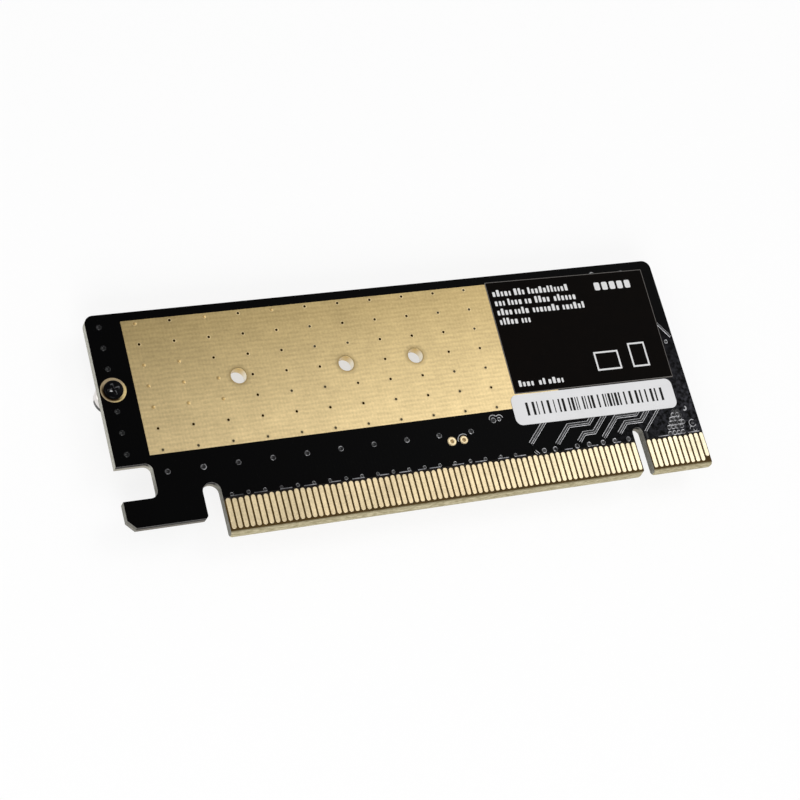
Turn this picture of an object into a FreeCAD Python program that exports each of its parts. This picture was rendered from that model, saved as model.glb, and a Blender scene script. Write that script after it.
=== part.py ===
"""Adapter card: carries one slim drive module on a long edge connector, without a bracket.

The card lies with its component side down and its gold solder side up.
Everything is drawn from the card's own datum: X = 0 is the middle of the key notch,
Y = 0 is the insertion edge, and Z = 0 is the component face of the laminate.
The finished shapes are moved so that the origin lies under the middle of the card,
on the surface that the card rests on.
"""
import FreeCAD, Part
import math
import os

V = FreeCAD.Vector

# ---------------------------------------------------------------- driving dimensions, mm

# laminate
board_thickness = 1.6
board_height = 37.85            # insertion edge to the far edge
corner_radius = 1.45            # the two far corners
bevel_length = 0.6              # bevel of the insertion edge, along the face
bevel_depth = 0.45              # and into the thickness

# edge fingers
finger_pitch = 1.0
finger_width = 0.7
finger_length = 4.95
finger_setback = 0.9            # insertion edge to the finger's end
short_finger_cut = 0.7          # what the presence-detect finger lacks
long_bank_count = 71
short_bank_count = 11
key_to_finger = 1.5             # middle of the key notch to the first finger on each side
long_end_margin = 0.65          # last finger of the long bank to the end of the tab
short_end_margin = 0.45         # last finger of the short bank to the end of the card

# key notch, hook gap and retention hook
key_notch_width = 1.9
key_notch_depth = 8.25
hook_gap_width = 2.9
hook_gap_depth = 8.7
hook_length = 12.35
hook_rise = 3.15                # insertion edge to the hook's lower edge
hook_chamfer = (1.2, 1.35)
hook_corner_radius = 0.5
latch_depth = 5.55              # cut-out above the hook, from the end of the card
latch_height = 5.55
latch_rise = 7.45
latch_radius = 1.2
tab_corner_chamfer = 0.7
tab_corner_radius = 0.4

# coatings
mask_thickness = 0.03
copper_thickness = 0.045
mask_edge_gap = 0.2             # fingers' upper ends to the edge of the solder mask
trace_relief = 0.035

# drive module interface
module_axis = 25.3              # insertion edge to the module's centre line
module_lengths = (30.0, 42.0, 60.0)
longest_module = 80.0
standoff_inset = 2.2            # end of the card to the screwed hole
module_thickness = 0.8
module_insertion = 4.0
seat_height = 2.5               # component face to the module's underside
hole_diameter = 2.5             # open plated holes
barrel_wall = 0.16
ring_diameter = 4.06            # gold ring around the screwed hole
standoff_diameter = 4.8
standoff_thread_bore = 1.6      # for the screw that holds a module
standoff_screw_bore = 2.0       # for the card's own screw
standoff_screw_depth = 1.2
standoff_chamfer = 0.2
screw_diameter = 1.9
screw_head_diameter = 3.05
screw_head_height = 0.45
screw_tip_gap = 0.1
recess_width = 0.42
recess_span = 1.7
recess_depth = 0.28

# thermal copper and its vias
thermal_inset = 5.55
thermal_socket_gap = 2.8        # end of the area to the socket's mouth
thermal_height = 22.2
via_diameter = 0.4
via_pitch_x = 5.6
via_pitch_y = 3.5
via_rows = 7
via_first_column = 2.15         # end of the copper to the first column
via_sides = 6
via_hole_clearance = 0.5

# two-pin position above the fingers
pin_pair_x = -33.0
pin_pair_rise = 10.05
pin_pair_pitch = 2.1
pin_pad_diameter = 1.5
pin_hole_diameter = 0.8

# signal traces
trace_width = 0.3
single_trace_width = 0.4
pair_spacing = 0.75             # centre to centre, along the card
trace_start_rise = 1.3          # fingers' ends to the first bend
trace_label_cover = 2.0         # how far the solder side's traces run under the white label
trace_tab_gap = 0.35            # ends of the component side's traces to the solder tab
single_trace_finger = 11

# each pair: number of its first finger, extra rise of its first bend, height of its level
# stretch, and where it turns away again; a pair with no level stretch has None
solder_side_lanes = [
    (30, 0.6, None, None),
    (26, 0.1, 10.4, -8.5),
    (22, 0.1, 8.75, -7.9),
    (17, 0.1, 10.9, 0.5),
    (14, 0.5, 9.65, 1.2),
]
component_side_lanes = [
    (28, 0.1, 11.6, -10.6),
    (24, 0.1, 10.0, -9.4),
    (20, 0.1, 8.4, -8.2),
    (15, 0.1, None, None),
]

# socket, seen from its mouth
socket_width = 21.9
socket_depth = 8.7
socket_height = 4.2
slot_width = 20.0
slot_clearance = 0.1            # above and below the module
front_recess_depth = 1.0
front_recess_height = 1.4
contact_count = 38
contact_pitch = 0.5
contact_width = 0.22
contact_sheet = 0.15
foot_length = 0.9
nose_rise = 0.3
nose_length = 1.5
nose_setback = 0.6              # nose to the slot's end
cavity_side_gap = 0.2
cavity_clearance = 0.05
key_first_contact = 29
key_contacts = 4
key_rib_width = 1.0
peg_diameters = (1.1, 1.6)
peg_spacing = 19.0
peg_length = 1.2
peg_clearance = 0.1
solder_tab_length = 2.0
solder_tab_reach = 1.2
solder_tab_height = 1.4

# labels
black_label_size = (29.6, 20.1)
black_label_middle = (-5.0, 26.45)
white_label_size = (29.9, 5.3)
white_label_shift = -1.15       # along the card, from the black label's middle
label_gap = 0.05
white_label_radius = 1.2
label_turn = -0.8               # degrees
label_thickness = 0.08

# small components: length, width, height, terminal length
bulk_capacitor = (3.2, 1.6, 1.5, 0.5)
bypass_capacitor = (1.6, 0.8, 0.8, 0.35)
resistor = (1.6, 0.8, 0.45, 0.3)
component_gap = 1.0             # socket's feet to the row of capacitors
bulk_spacing = 12.0
bypass_count = 4
bypass_pitch = 2.0
resistor_count = 2
resistor_offset = 6.0           # pin pair to the first resistor
resistor_pitch = 3.0

# ---------------------------------------------------------------- derived sizes

tab_left = -(key_to_finger + (long_bank_count - 1) * finger_pitch + long_end_margin)
board_right = key_to_finger + (short_bank_count - 1) * finger_pitch + short_end_margin
hook_right = tab_left - hook_gap_width
board_left = hook_right - hook_length
cut_over = 1.0                  # how far a cutting tool runs past the face that it cuts
finger_count = short_bank_count + long_bank_count
finger_top = finger_setback + finger_length
mask_rise = finger_top + mask_edge_gap

standoff_x = board_left + standoff_inset
module_edge = standoff_x + longest_module
hole_stations = [standoff_x + longest_module - length for length in module_lengths]
socket_mouth = module_edge - module_insertion
socket_back = socket_mouth + socket_depth
barrel_radius = hole_diameter / 2 + barrel_wall

thermal_left = board_left + thermal_inset
thermal_right = socket_mouth - thermal_socket_gap
thermal_low = module_axis - thermal_height / 2

component_face = 0.0
solder_face = board_thickness
copper_top = solder_face + copper_thickness
copper_bottom = component_face - copper_thickness
mask_top = solder_face + mask_thickness
mask_bottom = component_face - mask_thickness
trace_top = mask_top + trace_relief
trace_bottom = mask_bottom - trace_relief

card_left = min(board_left, standoff_x - standoff_diameter / 2)
origin = V((card_left + board_right) / 2, board_height / 2, -socket_height)


# ---------------------------------------------------------------- helpers

def save(name, shapes):
    """Write one node as a STEP file, in the row's own frame."""
    solids = []
    for shape in shapes:
        solids.extend(shape.Solids)
    node = solids[0] if len(solids) == 1 else Part.makeCompound(solids)
    node.translate(origin.negative())
    node.exportStep("parts/" + name + ".step")
    print(name, len(solids), "solids")


def box(low, high):
    """A block between two opposite corners."""
    size = [high[i] - low[i] for i in range(3)]
    return Part.makeBox(size[0], size[1], size[2], V(*low))


def disc(x, y, radius, low, high):
    """An upright cylinder between two heights."""
    return Part.makeCylinder(radius, high - low, V(x, y, low))


def rounded_outline(corners, z):
    """A closed face through corners given as (x, y, radius); radius 0 is sharp."""
    count = len(corners)
    edges = []
    last_point = None
    first_point = None
    for i, (x, y, radius) in enumerate(corners):
        here = V(x, y, z)
        before = V(corners[i - 1][0], corners[i - 1][1], z)
        after = V(corners[(i + 1) % count][0], corners[(i + 1) % count][1], z)
        back = (before - here).normalize()
        ahead = (after - here).normalize()
        start = here
        end = here
        if radius > 0:
            half_angle = back.getAngle(ahead) / 2
            reach = radius / math.tan(half_angle)
            start = here + back * reach
            end = here + ahead * reach
            middle_way = (back + ahead).normalize()
            middle = here + middle_way * (radius / math.sin(half_angle) - radius)
        if last_point is None:
            first_point = start
        elif (start - last_point).Length > 1e-7:
            edges.append(Part.LineSegment(last_point, start).toShape())
        if radius > 0:
            edges.append(Part.Arc(start, middle, end).toShape())
        last_point = end
    if (first_point - last_point).Length > 1e-7:
        edges.append(Part.LineSegment(last_point, first_point).toShape())
    return Part.Face(Part.Wire(edges))


def slab(corners, low, high):
    """A rounded outline carried from one height to another."""
    return rounded_outline(corners, low).extrude(V(0, 0, high - low))


def prism(x, y, radius, sides, low, high):
    """An upright prism whose sides stand off its axis by the radius."""
    corner_radius = radius / math.cos(math.pi / sides)
    turns = [2 * math.pi * (i + 0.5) / sides for i in range(sides)]
    points = [V(x + corner_radius * math.cos(t), y + corner_radius * math.sin(t), low) for t in turns]
    face = Part.Face(Part.makePolygon(points + [points[0]]))
    return face.extrude(V(0, 0, high - low))


def ribbon(points, width, low, high):
    """A flat trace of even width along a polyline, with mitred bends."""
    left = []
    right = []
    for i, point in enumerate(points):
        here = V(point[0], point[1], low)
        ways = []
        if i > 0:
            ways.append((here - V(points[i - 1][0], points[i - 1][1], low)).normalize())
        if i < len(points) - 1:
            ways.append((V(points[i + 1][0], points[i + 1][1], low) - here).normalize())
        normals = [V(-way.y, way.x, 0) for way in ways]
        mitre = normals[0] + normals[-1]
        mitre.normalize()
        offset = mitre * (width / 2 / mitre.dot(normals[0]))
        left.append(here + offset)
        right.append(here - offset)
    outline = left + right[::-1]
    face = Part.Face(Part.makePolygon(outline + [outline[0]]))
    return face.extrude(V(0, 0, high - low))


# ---------------------------------------------------------------- laminate

def board_outline():
    """The laminate's edge, anticlockwise from the hook's lower left.

    The hook gap and the key notch end in half circles, drawn as two corners whose
    radius is half the gap.
    """
    notch = key_notch_width / 2
    gap = hook_gap_width / 2
    latch_right = board_left + latch_depth
    latch_top = latch_rise + latch_height
    return [
        (board_left + hook_chamfer[0], hook_rise, 0),
        (hook_right, hook_rise, hook_corner_radius),
        (hook_right, hook_gap_depth, gap),
        (tab_left, hook_gap_depth, gap),
        (tab_left, 0, tab_corner_radius),
        (-notch - tab_corner_chamfer, 0, 0),
        (-notch, tab_corner_chamfer, 0),
        (-notch, key_notch_depth, notch),
        (notch, key_notch_depth, notch),
        (notch, 0, tab_corner_radius),
        (board_right, 0, tab_corner_radius),
        (board_right, board_height, corner_radius),
        (board_left, board_height, corner_radius),
        (board_left, latch_top, 0),
        (latch_right, latch_top, latch_radius),
        (latch_right, latch_rise, latch_radius),
        (board_left, latch_rise, 0),
        (board_left, hook_rise + hook_chamfer[1], 0),
    ]


def bevel_wedge(face_z, inward):
    """The prism that the bevel takes off one face along the insertion edge."""
    left = tab_left - cut_over
    depth = bevel_depth * inward * (bevel_length + cut_over) / bevel_length
    corners = [
        V(left, bevel_length, face_z),
        V(left, -cut_over, face_z),
        V(left, -cut_over, face_z + depth),
        V(left, bevel_length, face_z),
    ]
    face = Part.Face(Part.makePolygon(corners))
    return face.extrude(V(board_right + cut_over - left, 0, 0))


def peg_places():
    """Middle and radius of the socket's two locating pegs."""
    peg_x = (socket_mouth + socket_back) / 2
    places = []
    for side, diameter in zip((-1, 1), peg_diameters):
        places.append((peg_x, module_axis + side * peg_spacing / 2, diameter / 2))
    return places


def pin_pair_places():
    """Middles of the two holes of the pin pair."""
    return [(pin_pair_x + i * pin_pair_pitch, pin_pair_rise) for i in range(2)]


def board_holes(low, high):
    """Round holes through the laminate, sized for the plating that lines them."""
    holes = [disc(x, module_axis, barrel_radius, low, high) for x in hole_stations]
    holes.append(disc(standoff_x, module_axis, barrel_radius, low, high))
    for x, y in pin_pair_places():
        holes.append(disc(x, y, pin_hole_diameter / 2 + barrel_wall, low, high))
    for x, y, radius in peg_places():
        holes.append(disc(x, y, radius + peg_clearance, low, high))
    return holes


def board_laminate():
    board = slab(board_outline(), component_face, solder_face)
    board = board.cut([bevel_wedge(component_face, 1), bevel_wedge(solder_face, -1)])
    return board.cut(board_holes(component_face - cut_over, solder_face + cut_over))


# ---------------------------------------------------------------- coatings

def thermal_corners():
    high = thermal_low + thermal_height
    return (thermal_left, thermal_low), (thermal_right, high)


def thermal_vias(low, high):
    """The grid of vias, left out where a module hole stands."""
    radius = via_diameter / 2
    clear = barrel_radius + via_hole_clearance
    vias = []
    x = thermal_left + via_first_column
    while x < thermal_right - radius:
        for row in range(via_rows):
            y = module_axis + (row - (via_rows - 1) / 2) * via_pitch_y
            near = [s for s in hole_stations if math.hypot(x - s, y - module_axis) < clear]
            if not near:
                vias.append(prism(x, y, radius, via_sides, low, high))
        x += via_pitch_x
    return vias


def thermal_copper(low, high, with_vias):
    """One face's gold-plated area, open at the module holes."""
    corner, opposite = thermal_corners()
    sheet = box((corner[0], corner[1], low), (opposite[0], opposite[1], high))
    start = low - cut_over
    end = high + cut_over
    cuts = [disc(x, module_axis, barrel_radius, start, end) for x in hole_stations]
    if with_vias:
        cuts += thermal_vias(start, end)
    return sheet.cut(cuts)


def solder_mask(low, high):
    """One face's mask: the board's outline above the fingers, with its openings."""
    sheet = slab(board_outline(), low, high)
    start = low - cut_over
    end = high + cut_over
    corner, opposite = thermal_corners()
    cuts = [
        box((corner[0], corner[1], start), (opposite[0], opposite[1], end)),
        box((tab_left, -cut_over, start), (board_right + cut_over, mask_rise, end)),
        disc(standoff_x, module_axis, ring_diameter / 2, start, end),
    ]
    for x, y in pin_pair_places():
        cuts.append(disc(x, y, pin_pad_diameter / 2, start, end))
    for x, y, radius in peg_places():
        cuts.append(disc(x, y, radius + peg_clearance, start, end))
    return sheet.cut(cuts)


def finger_x(number):
    """Middle of a finger by its number, counted from the end of the short bank."""
    if number <= short_bank_count:
        return key_to_finger + (short_bank_count - number) * finger_pitch
    return -key_to_finger - (number - short_bank_count - 1) * finger_pitch


def fingers(low, high, short_finger):
    """One face's fingers; the presence-detect one stops short of the others."""
    bank = []
    for number in range(1, finger_count + 1):
        x = finger_x(number)
        end = finger_setback + (short_finger_cut if number == short_finger else 0)
        half = finger_width / 2
        bank.append(box((x - half, end, low), (x + half, finger_top, high)))
    return bank


# ---------------------------------------------------------------- plated holes

def length_hole_barrels():
    barrels = []
    for x in hole_stations:
        tube = disc(x, module_axis, barrel_radius, copper_bottom, copper_top)
        bore = disc(x, module_axis, hole_diameter / 2, copper_bottom, copper_top)
        barrels.append(tube.cut(bore))
    return barrels


def eyelet(x, y, bore_radius, ring_radius):
    """A plated hole with a ring on each face."""
    body = disc(x, y, bore_radius + barrel_wall, component_face, solder_face)
    top = disc(x, y, ring_radius, solder_face, copper_top)
    bottom = disc(x, y, ring_radius, copper_bottom, component_face)
    solid = body.fuse([top, bottom])
    return solid.cut(disc(x, y, bore_radius, copper_bottom - cut_over, copper_top + cut_over))


def screw_hole_eyelet():
    return eyelet(standoff_x, module_axis, hole_diameter / 2, ring_diameter / 2)


def pin_pair_eyelets():
    bore_radius = pin_hole_diameter / 2
    return [eyelet(x, y, bore_radius, pin_pad_diameter / 2) for x, y in pin_pair_places()]


# ---------------------------------------------------------------- signal traces

def pair_route(left_finger_x, rise, level, turn_x, end_rise):
    """Two traces: up from a pair of fingers, away at 45 degrees, along, and away again.

    level is None where a pair runs at 45 degrees without a level stretch.
    """
    right_start = left_finger_x + finger_pitch
    step = finger_pitch - pair_spacing
    routes = []
    for side in (0, 1):
        x = left_finger_x + side * pair_spacing
        drop = side * pair_spacing * math.tan(math.radians(22.5))
        first_bend = finger_top + trace_start_rise + rise - drop
        points = [(x, first_bend)]
        if side == 1:
            low = mask_rise + trace_width
            points = [(right_start, mask_rise), (right_start, low), (x, low + step)] + points
        else:
            points = [(x, mask_rise)] + points
        if level is None:
            points.append((x + end_rise - first_bend, end_rise))
        else:
            run = level - side * pair_spacing * math.sin(math.radians(45))
            level_x = x + run - first_bend
            turn = turn_x + drop
            points += [(level_x, run), (turn, run), (turn + end_rise - run, end_rise)]
        routes.append(points)
    return routes


def traces(lanes, end_rise, low, high):
    """One face's pairs, as flat copper ribbons under the mask."""
    ribbons = []
    for number, rise, level, turn_x in lanes:
        for points in pair_route(finger_x(number), rise, level, turn_x, end_rise):
            ribbons.append(ribbon(points, trace_width, low, high))
    return ribbons


def solder_side_traces():
    """Four receive pairs, the clock pair and one single trace, which end under the label."""
    end_rise = white_label_middle()[1] - white_label_size[1] / 2 + trace_label_cover
    start = mask_rise + trace_start_rise
    x = finger_x(single_trace_finger)
    single = [(x, mask_rise), (x, start), (x + end_rise - start, end_rise)]
    pairs = traces(solder_side_lanes, end_rise, mask_top, trace_top)
    return pairs + [ribbon(single, single_trace_width, mask_top, trace_top)]


def component_side_traces():
    """Four transmit pairs that gather at the near end of the socket."""
    end_rise = module_axis - socket_width / 2 - solder_tab_reach - trace_tab_gap
    return traces(component_side_lanes, end_rise, trace_bottom, mask_bottom)


# ---------------------------------------------------------------- socket

slot_low = seat_height - mask_thickness - slot_clearance
slot_high = seat_height - mask_thickness + module_thickness + slot_clearance
housing_height = socket_height - mask_thickness
contact_reach = (contact_count - 1) * contact_pitch / 2
cavity_half = contact_reach + contact_width / 2 + cavity_side_gap
nose_start = module_insertion - nose_length - nose_setback
nose_end = module_insertion - nose_setback


def socket_point(x, y, height):
    """From the socket's own place (depth, side, height) to the card's datum."""
    return V(socket_mouth + x, module_axis + y, mask_bottom - height)


def socket_box(low, high):
    """A block in the socket's own place."""
    a = socket_point(*low)
    b = socket_point(*high)
    return box((a.x, a.y, b.z), (b.x, b.y, a.z))


def contact_side(number):
    """Where an upper contact stands across the socket."""
    return number * contact_pitch - contact_reach


def key_side():
    """Middle of the key rib across the socket, between the two rows' middles."""
    return contact_side(key_first_contact + (key_contacts - 1) / 2) + contact_pitch / 4


def contact_numbers():
    """Every contact of a row, apart from those that the key rib takes away."""
    keyed = range(key_first_contact, key_first_contact + key_contacts)
    return [number for number in range(contact_count) if number not in keyed]


def contact_cavities():
    """One shared recess for each row: a leg's space and a beam's space."""
    sheet = contact_sheet
    half = cavity_half
    front = front_recess_depth
    leg = front - sheet
    under = -cut_over
    behind = socket_depth + cut_over
    beam_top = slot_high + sheet + cavity_clearance
    beam_low = slot_low - sheet - cavity_clearance
    return [
        socket_box((-cut_over, -half, under), (front, half, front_recess_height)),
        socket_box((leg, -half, under), (front, half, slot_low)),
        socket_box((leg, -half, beam_low), (nose_end, half, slot_low)),
        socket_box((nose_start, -half, slot_high), (behind, half, beam_top)),
        socket_box((socket_depth - sheet, -half, under), (behind, half, beam_top)),
    ]


def socket_housing():
    """The moulded body: slot for the module, contact cavities, key rib and pegs."""
    half = socket_width / 2
    slot_half = slot_width / 2
    body = socket_box((0, -half, 0), (socket_depth, half, housing_height))
    slot = socket_box(
        (-cut_over, -slot_half, slot_low), (module_insertion, slot_half, slot_high))
    rib = socket_box(
        (0, key_side() - key_rib_width / 2, slot_low),
        (module_insertion, key_side() + key_rib_width / 2, slot_high))
    housing = body.cut([slot] + contact_cavities()).fuse(rib)
    for x, y, radius in peg_places():
        housing = housing.fuse(disc(x, y, radius, mask_bottom, component_face + peg_length))
    return housing.removeSplitter()


def sheet_strip(profile, side):
    """A flat strip: a profile of (depth, height) points carried across one contact."""
    left = side - contact_width / 2
    points = [socket_point(x, left, height) for x, height in profile]
    face = Part.Face(Part.makePolygon(points + [points[0]]))
    return face.extrude(V(0, contact_width, 0))


def upper_contacts():
    """Rear row: a foot behind the socket, a leg up its back, a beam and a nose."""
    sheet = contact_sheet
    foot_end = socket_depth + foot_length
    leg = socket_depth - sheet
    nose = (nose_start + nose_end) / 2
    profile = [
        (foot_end, 0),
        (leg, 0),
        (leg, slot_high),
        (nose_end, slot_high),
        (nose, slot_high - nose_rise),
        (nose_start, slot_high + sheet),
        (socket_depth, slot_high + sheet),
        (socket_depth, sheet),
        (foot_end, sheet),
    ]
    return [sheet_strip(profile, contact_side(number)) for number in contact_numbers()]


def lower_contacts():
    """Front row: a foot under the mouth, a leg, a beam and a nose; half a pitch aside."""
    sheet = contact_sheet
    front = front_recess_depth
    leg = front - sheet
    foot_end = leg - foot_length
    nose = (nose_start + nose_end) / 2
    profile = [
        (foot_end, 0),
        (front, 0),
        (front, slot_low - sheet),
        (nose_end, slot_low - sheet),
        (nose, slot_low + nose_rise),
        (nose_start, slot_low),
        (leg, slot_low),
        (leg, sheet),
        (foot_end, sheet),
    ]
    shift = contact_pitch / 2
    numbers = contact_numbers()[:-1]
    return [sheet_strip(profile, contact_side(number) + shift) for number in numbers]


def socket_solder_tabs():
    """A bent metal tab at each end of the socket, soldered to the board."""
    tabs = []
    middle = socket_depth / 2
    start = middle - solder_tab_length / 2
    end = middle + solder_tab_length / 2
    for side in (-1, 1):
        wall = side * socket_width / 2
        thick = wall + side * contact_sheet
        reach = wall + side * solder_tab_reach
        upright = socket_box(
            (start, min(wall, thick), 0), (end, max(wall, thick), solder_tab_height))
        foot = socket_box((start, min(wall, reach), 0), (end, max(wall, reach), contact_sheet))
        tabs.append(upright.fuse(foot).removeSplitter())
    return tabs


# ---------------------------------------------------------------- standoff and screw

def standoff():
    """Round nut: the module's screw enters below, the card's own screw above."""
    top = copper_bottom
    low = component_face - seat_height
    radius = standoff_diameter / 2
    body = disc(standoff_x, module_axis, radius, low, top)
    rims = [edge for edge in body.Edges if isinstance(edge.Curve, Part.Circle)]
    body = body.makeChamfer(standoff_chamfer, rims)
    screw_end = top - standoff_screw_depth
    screw_radius = standoff_screw_bore / 2
    thread_radius = standoff_thread_bore / 2
    upper = disc(standoff_x, module_axis, screw_radius, screw_end, top + cut_over)
    lower = disc(standoff_x, module_axis, thread_radius, low - cut_over, screw_end)
    return body.cut([upper, lower])


def standoff_screw():
    """Low cylinder head on the gold ring, with a cross recess and a plain shank."""
    head_top = copper_top + screw_head_height
    head = disc(standoff_x, module_axis, screw_head_diameter / 2, copper_top, head_top)
    rim = [edge for edge in head.Edges if abs(edge.CenterOfMass.z - head_top) < 1e-6]
    head = head.makeChamfer(screw_head_height / 3, rim)
    tip = copper_bottom - standoff_screw_depth + screw_tip_gap
    shank = disc(standoff_x, module_axis, screw_diameter / 2, tip, copper_top)
    screw = head.fuse(shank)
    for span_x, span_y in ((recess_span, recess_width), (recess_width, recess_span)):
        low = (standoff_x - span_x / 2, module_axis - span_y / 2, head_top - recess_depth)
        high = (standoff_x + span_x / 2, module_axis + span_y / 2, head_top + cut_over)
        screw = screw.cut(box(low, high))
    return screw


# ---------------------------------------------------------------- labels

def label(size, middle, radius, low):
    """A thin sticker, slightly turned as it was stuck on."""
    half_x = size[0] / 2
    half_y = size[1] / 2
    corners = [
        (-half_x, -half_y, radius),
        (half_x, -half_y, radius),
        (half_x, half_y, radius),
        (-half_x, half_y, radius),
    ]
    sticker = slab(corners, low, low + label_thickness)
    sticker.rotate(V(0, 0, 0), V(0, 0, 1), label_turn)
    sticker.translate(V(middle[0], middle[1], 0))
    return sticker


def white_label_middle():
    """The white label lies just below the black one, along the same turned line."""
    turn = math.radians(label_turn)
    drop = (black_label_size[1] + white_label_size[1]) / 2 + label_gap
    x = black_label_middle[0] + white_label_shift * math.cos(turn) + drop * math.sin(turn)
    y = black_label_middle[1] + white_label_shift * math.sin(turn) - drop * math.cos(turn)
    return x, y


# ---------------------------------------------------------------- small components

def chip(size, x, y):
    """One chip component: its body and its two end caps, on the component face."""
    length, width, height, cap = size
    low = mask_bottom - height
    start = x - length / 2
    end = x + length / 2
    body = box((start + cap, y - width / 2, low), (end - cap, y + width / 2, mask_bottom))
    caps = []
    for left in (start, end - cap):
        caps.append(box((left, y - width / 2, low), (left + cap, y + width / 2, mask_bottom)))
    return body, caps


def chip_row(size, places):
    """A row of like components: all the bodies, and all the end caps."""
    bodies = []
    caps = []
    for x, y in places:
        body, ends = chip(size, x, y)
        bodies.append(body)
        caps.extend(ends)
    return bodies, caps


def spread(count, pitch):
    """Places of a row's members about its middle."""
    return [(i - (count - 1) / 2) * pitch for i in range(count)]


def component_places():
    """Bulk and bypass capacitors behind the socket, and resistors beside the pin pair."""
    row_x = socket_back + foot_length + component_gap + bulk_capacitor[0] / 2
    bulk = [(row_x, module_axis + y) for y in spread(2, bulk_spacing)]
    bypass = [(row_x, module_axis + y) for y in spread(bypass_count, bypass_pitch)]
    first = pin_pair_x + resistor_offset
    loads = [(first + i * resistor_pitch, pin_pair_rise) for i in range(resistor_count)]
    return bulk, bypass, loads


# ---------------------------------------------------------------- build

def build_board():
    save("board_laminate", [board_laminate()])
    save("solder_side_mask", [solder_mask(solder_face, mask_top)])
    save("component_side_mask", [solder_mask(mask_bottom, component_face)])
    save("solder_side_copper", [thermal_copper(solder_face, copper_top, True)])
    save("component_side_copper", [thermal_copper(copper_bottom, component_face, False)])
    save("solder_side_fingers", fingers(solder_face, copper_top, 1))
    save("component_side_fingers", fingers(copper_bottom, component_face, finger_count))
    save("length_hole_barrels", length_hole_barrels())
    save("screw_hole_eyelet", [screw_hole_eyelet()])
    save("pin_pair_eyelets", pin_pair_eyelets())
    save("solder_side_traces", solder_side_traces())
    save("component_side_traces", component_side_traces())


def build_socket_and_standoff():
    save("socket_housing", [socket_housing()])
    save("socket_upper_contacts", upper_contacts())
    save("socket_lower_contacts", lower_contacts())
    save("socket_solder_tabs", socket_solder_tabs())
    save("standoff", [standoff()])
    save("standoff_screw", [standoff_screw()])


def build_labels():
    black = label(black_label_size, black_label_middle, 0, copper_top)
    white = label(white_label_size, white_label_middle(), white_label_radius, trace_top)
    save("black_label", [black])
    save("white_label", [white])


def build_components():
    bulk, bypass, loads = component_places()
    chips = [
        ("bulk_capacitor", bulk_capacitor, bulk),
        ("bypass_capacitor", bypass_capacitor, bypass),
        ("resistor", resistor, loads),
    ]
    for name, size, places in chips:
        bodies, caps = chip_row(size, places)
        save(name + "_bodies", bodies)
        save(name + "_terminals", caps)


os.makedirs("parts", exist_ok=True)
build_board()
build_socket_and_standoff()
build_labels()
build_components()
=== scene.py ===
# %% [markdown]
# # Adapter card for a storage module, seen from its solder side
# The card's solids come from the frame: laminate, masks, copper, socket, standoff, labels and
# chips. This script gives every one of them a finish, and it replaces the ones whose real edges
# are rounder than a plain solid: contact fingers, plated holes, eyelets, traces and the screw.
# New surfaces are written as formulas over whole arrays of points, because a formula can be
# read and changed later, where a mesh shaped by hand can't.

# %% Open the frame
import math

import bmesh
import bpy
import numpy as np
from mathutils import Matrix, Vector


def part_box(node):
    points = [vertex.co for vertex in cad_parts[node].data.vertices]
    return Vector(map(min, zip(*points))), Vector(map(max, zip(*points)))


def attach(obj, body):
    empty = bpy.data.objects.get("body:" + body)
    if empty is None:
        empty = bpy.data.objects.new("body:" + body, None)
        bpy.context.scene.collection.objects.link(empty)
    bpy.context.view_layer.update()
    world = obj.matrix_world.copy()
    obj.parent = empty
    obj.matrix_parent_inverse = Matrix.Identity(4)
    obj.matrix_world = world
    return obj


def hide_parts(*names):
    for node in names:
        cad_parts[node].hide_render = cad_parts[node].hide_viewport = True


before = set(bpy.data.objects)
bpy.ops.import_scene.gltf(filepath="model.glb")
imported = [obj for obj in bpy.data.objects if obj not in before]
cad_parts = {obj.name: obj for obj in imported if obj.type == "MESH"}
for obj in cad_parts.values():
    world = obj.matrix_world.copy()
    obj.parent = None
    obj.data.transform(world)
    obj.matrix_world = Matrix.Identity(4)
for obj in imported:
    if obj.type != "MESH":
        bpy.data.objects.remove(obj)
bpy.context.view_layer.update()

# %% [markdown]
# ## Where things are
# Positions on the card are written in millimetres: u runs along the insertion edge from the
# outer side of the first finger's lane, and v runs from the insertion edge to the far edge.
# Metres in the frame's own axes would do as well, but a card is laid out from that edge. Both
# are tied to the boxes of the solids, so they follow the part when it changes.

# %% Levels and card coordinates
MM = 0.001
LANE_MARGIN = 0.15                 # first finger's flank to the start of its lane
board_low, board_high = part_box("board_laminate")
finger_low, finger_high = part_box("solder_side_fingers")
FACE, MASK_TOP = (corner.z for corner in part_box("solder_side_mask"))
BACK_MASK, BACK_FACE = (corner.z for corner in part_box("component_side_mask"))
COPPER_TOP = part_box("solder_side_copper")[1].z
BACK_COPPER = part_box("component_side_copper")[0].z
EDGE_U = finger_low.x - LANE_MARGIN * MM


def at(u, v):
    """Point or points of the card in metres: u and v in millimetres, turned into x and y."""
    return EDGE_U + np.asarray(u, float) * MM, board_low.y + np.asarray(v, float) * MM


def back_to(x, y):
    """The other way round: x and y in metres, turned into u and v in millimetres."""
    return (x - EDGE_U) / MM, (y - board_low.y) / MM


def middle_of(name):
    """Middle of a solid's box, as u and v."""
    low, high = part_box(name)
    return np.array(back_to((low.x + high.x) / 2, (low.y + high.y) / 2))


print("card spans u", round(back_to(board_low.x, 0)[0], 2), "to",
      round(back_to(board_high.x, 0)[0], 2), "mm")

# %% [markdown]
# ## Flat pieces: plates
# Fingers, straps, labels and print are thin plates with round corners and soft edges. A cube
# with a Bevel modifier would do for one of them. A rounded outline that is drawn at several
# heights, each with its own inset, has far fewer faces, so hundreds of them stay light.


# %% Plates from stacked outlines
def ring_quads(rings, count, closed=True):
    """Quads between each ring of points and the next one."""
    last = count if closed else count - 1
    r, k = np.meshgrid(np.arange(rings - 1), np.arange(last), indexing="ij")
    a, b = r * count + k, r * count + (k + 1) % count
    return np.stack([a, b, b + count, a + count], -1).reshape(-1, 4).tolist()


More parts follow.
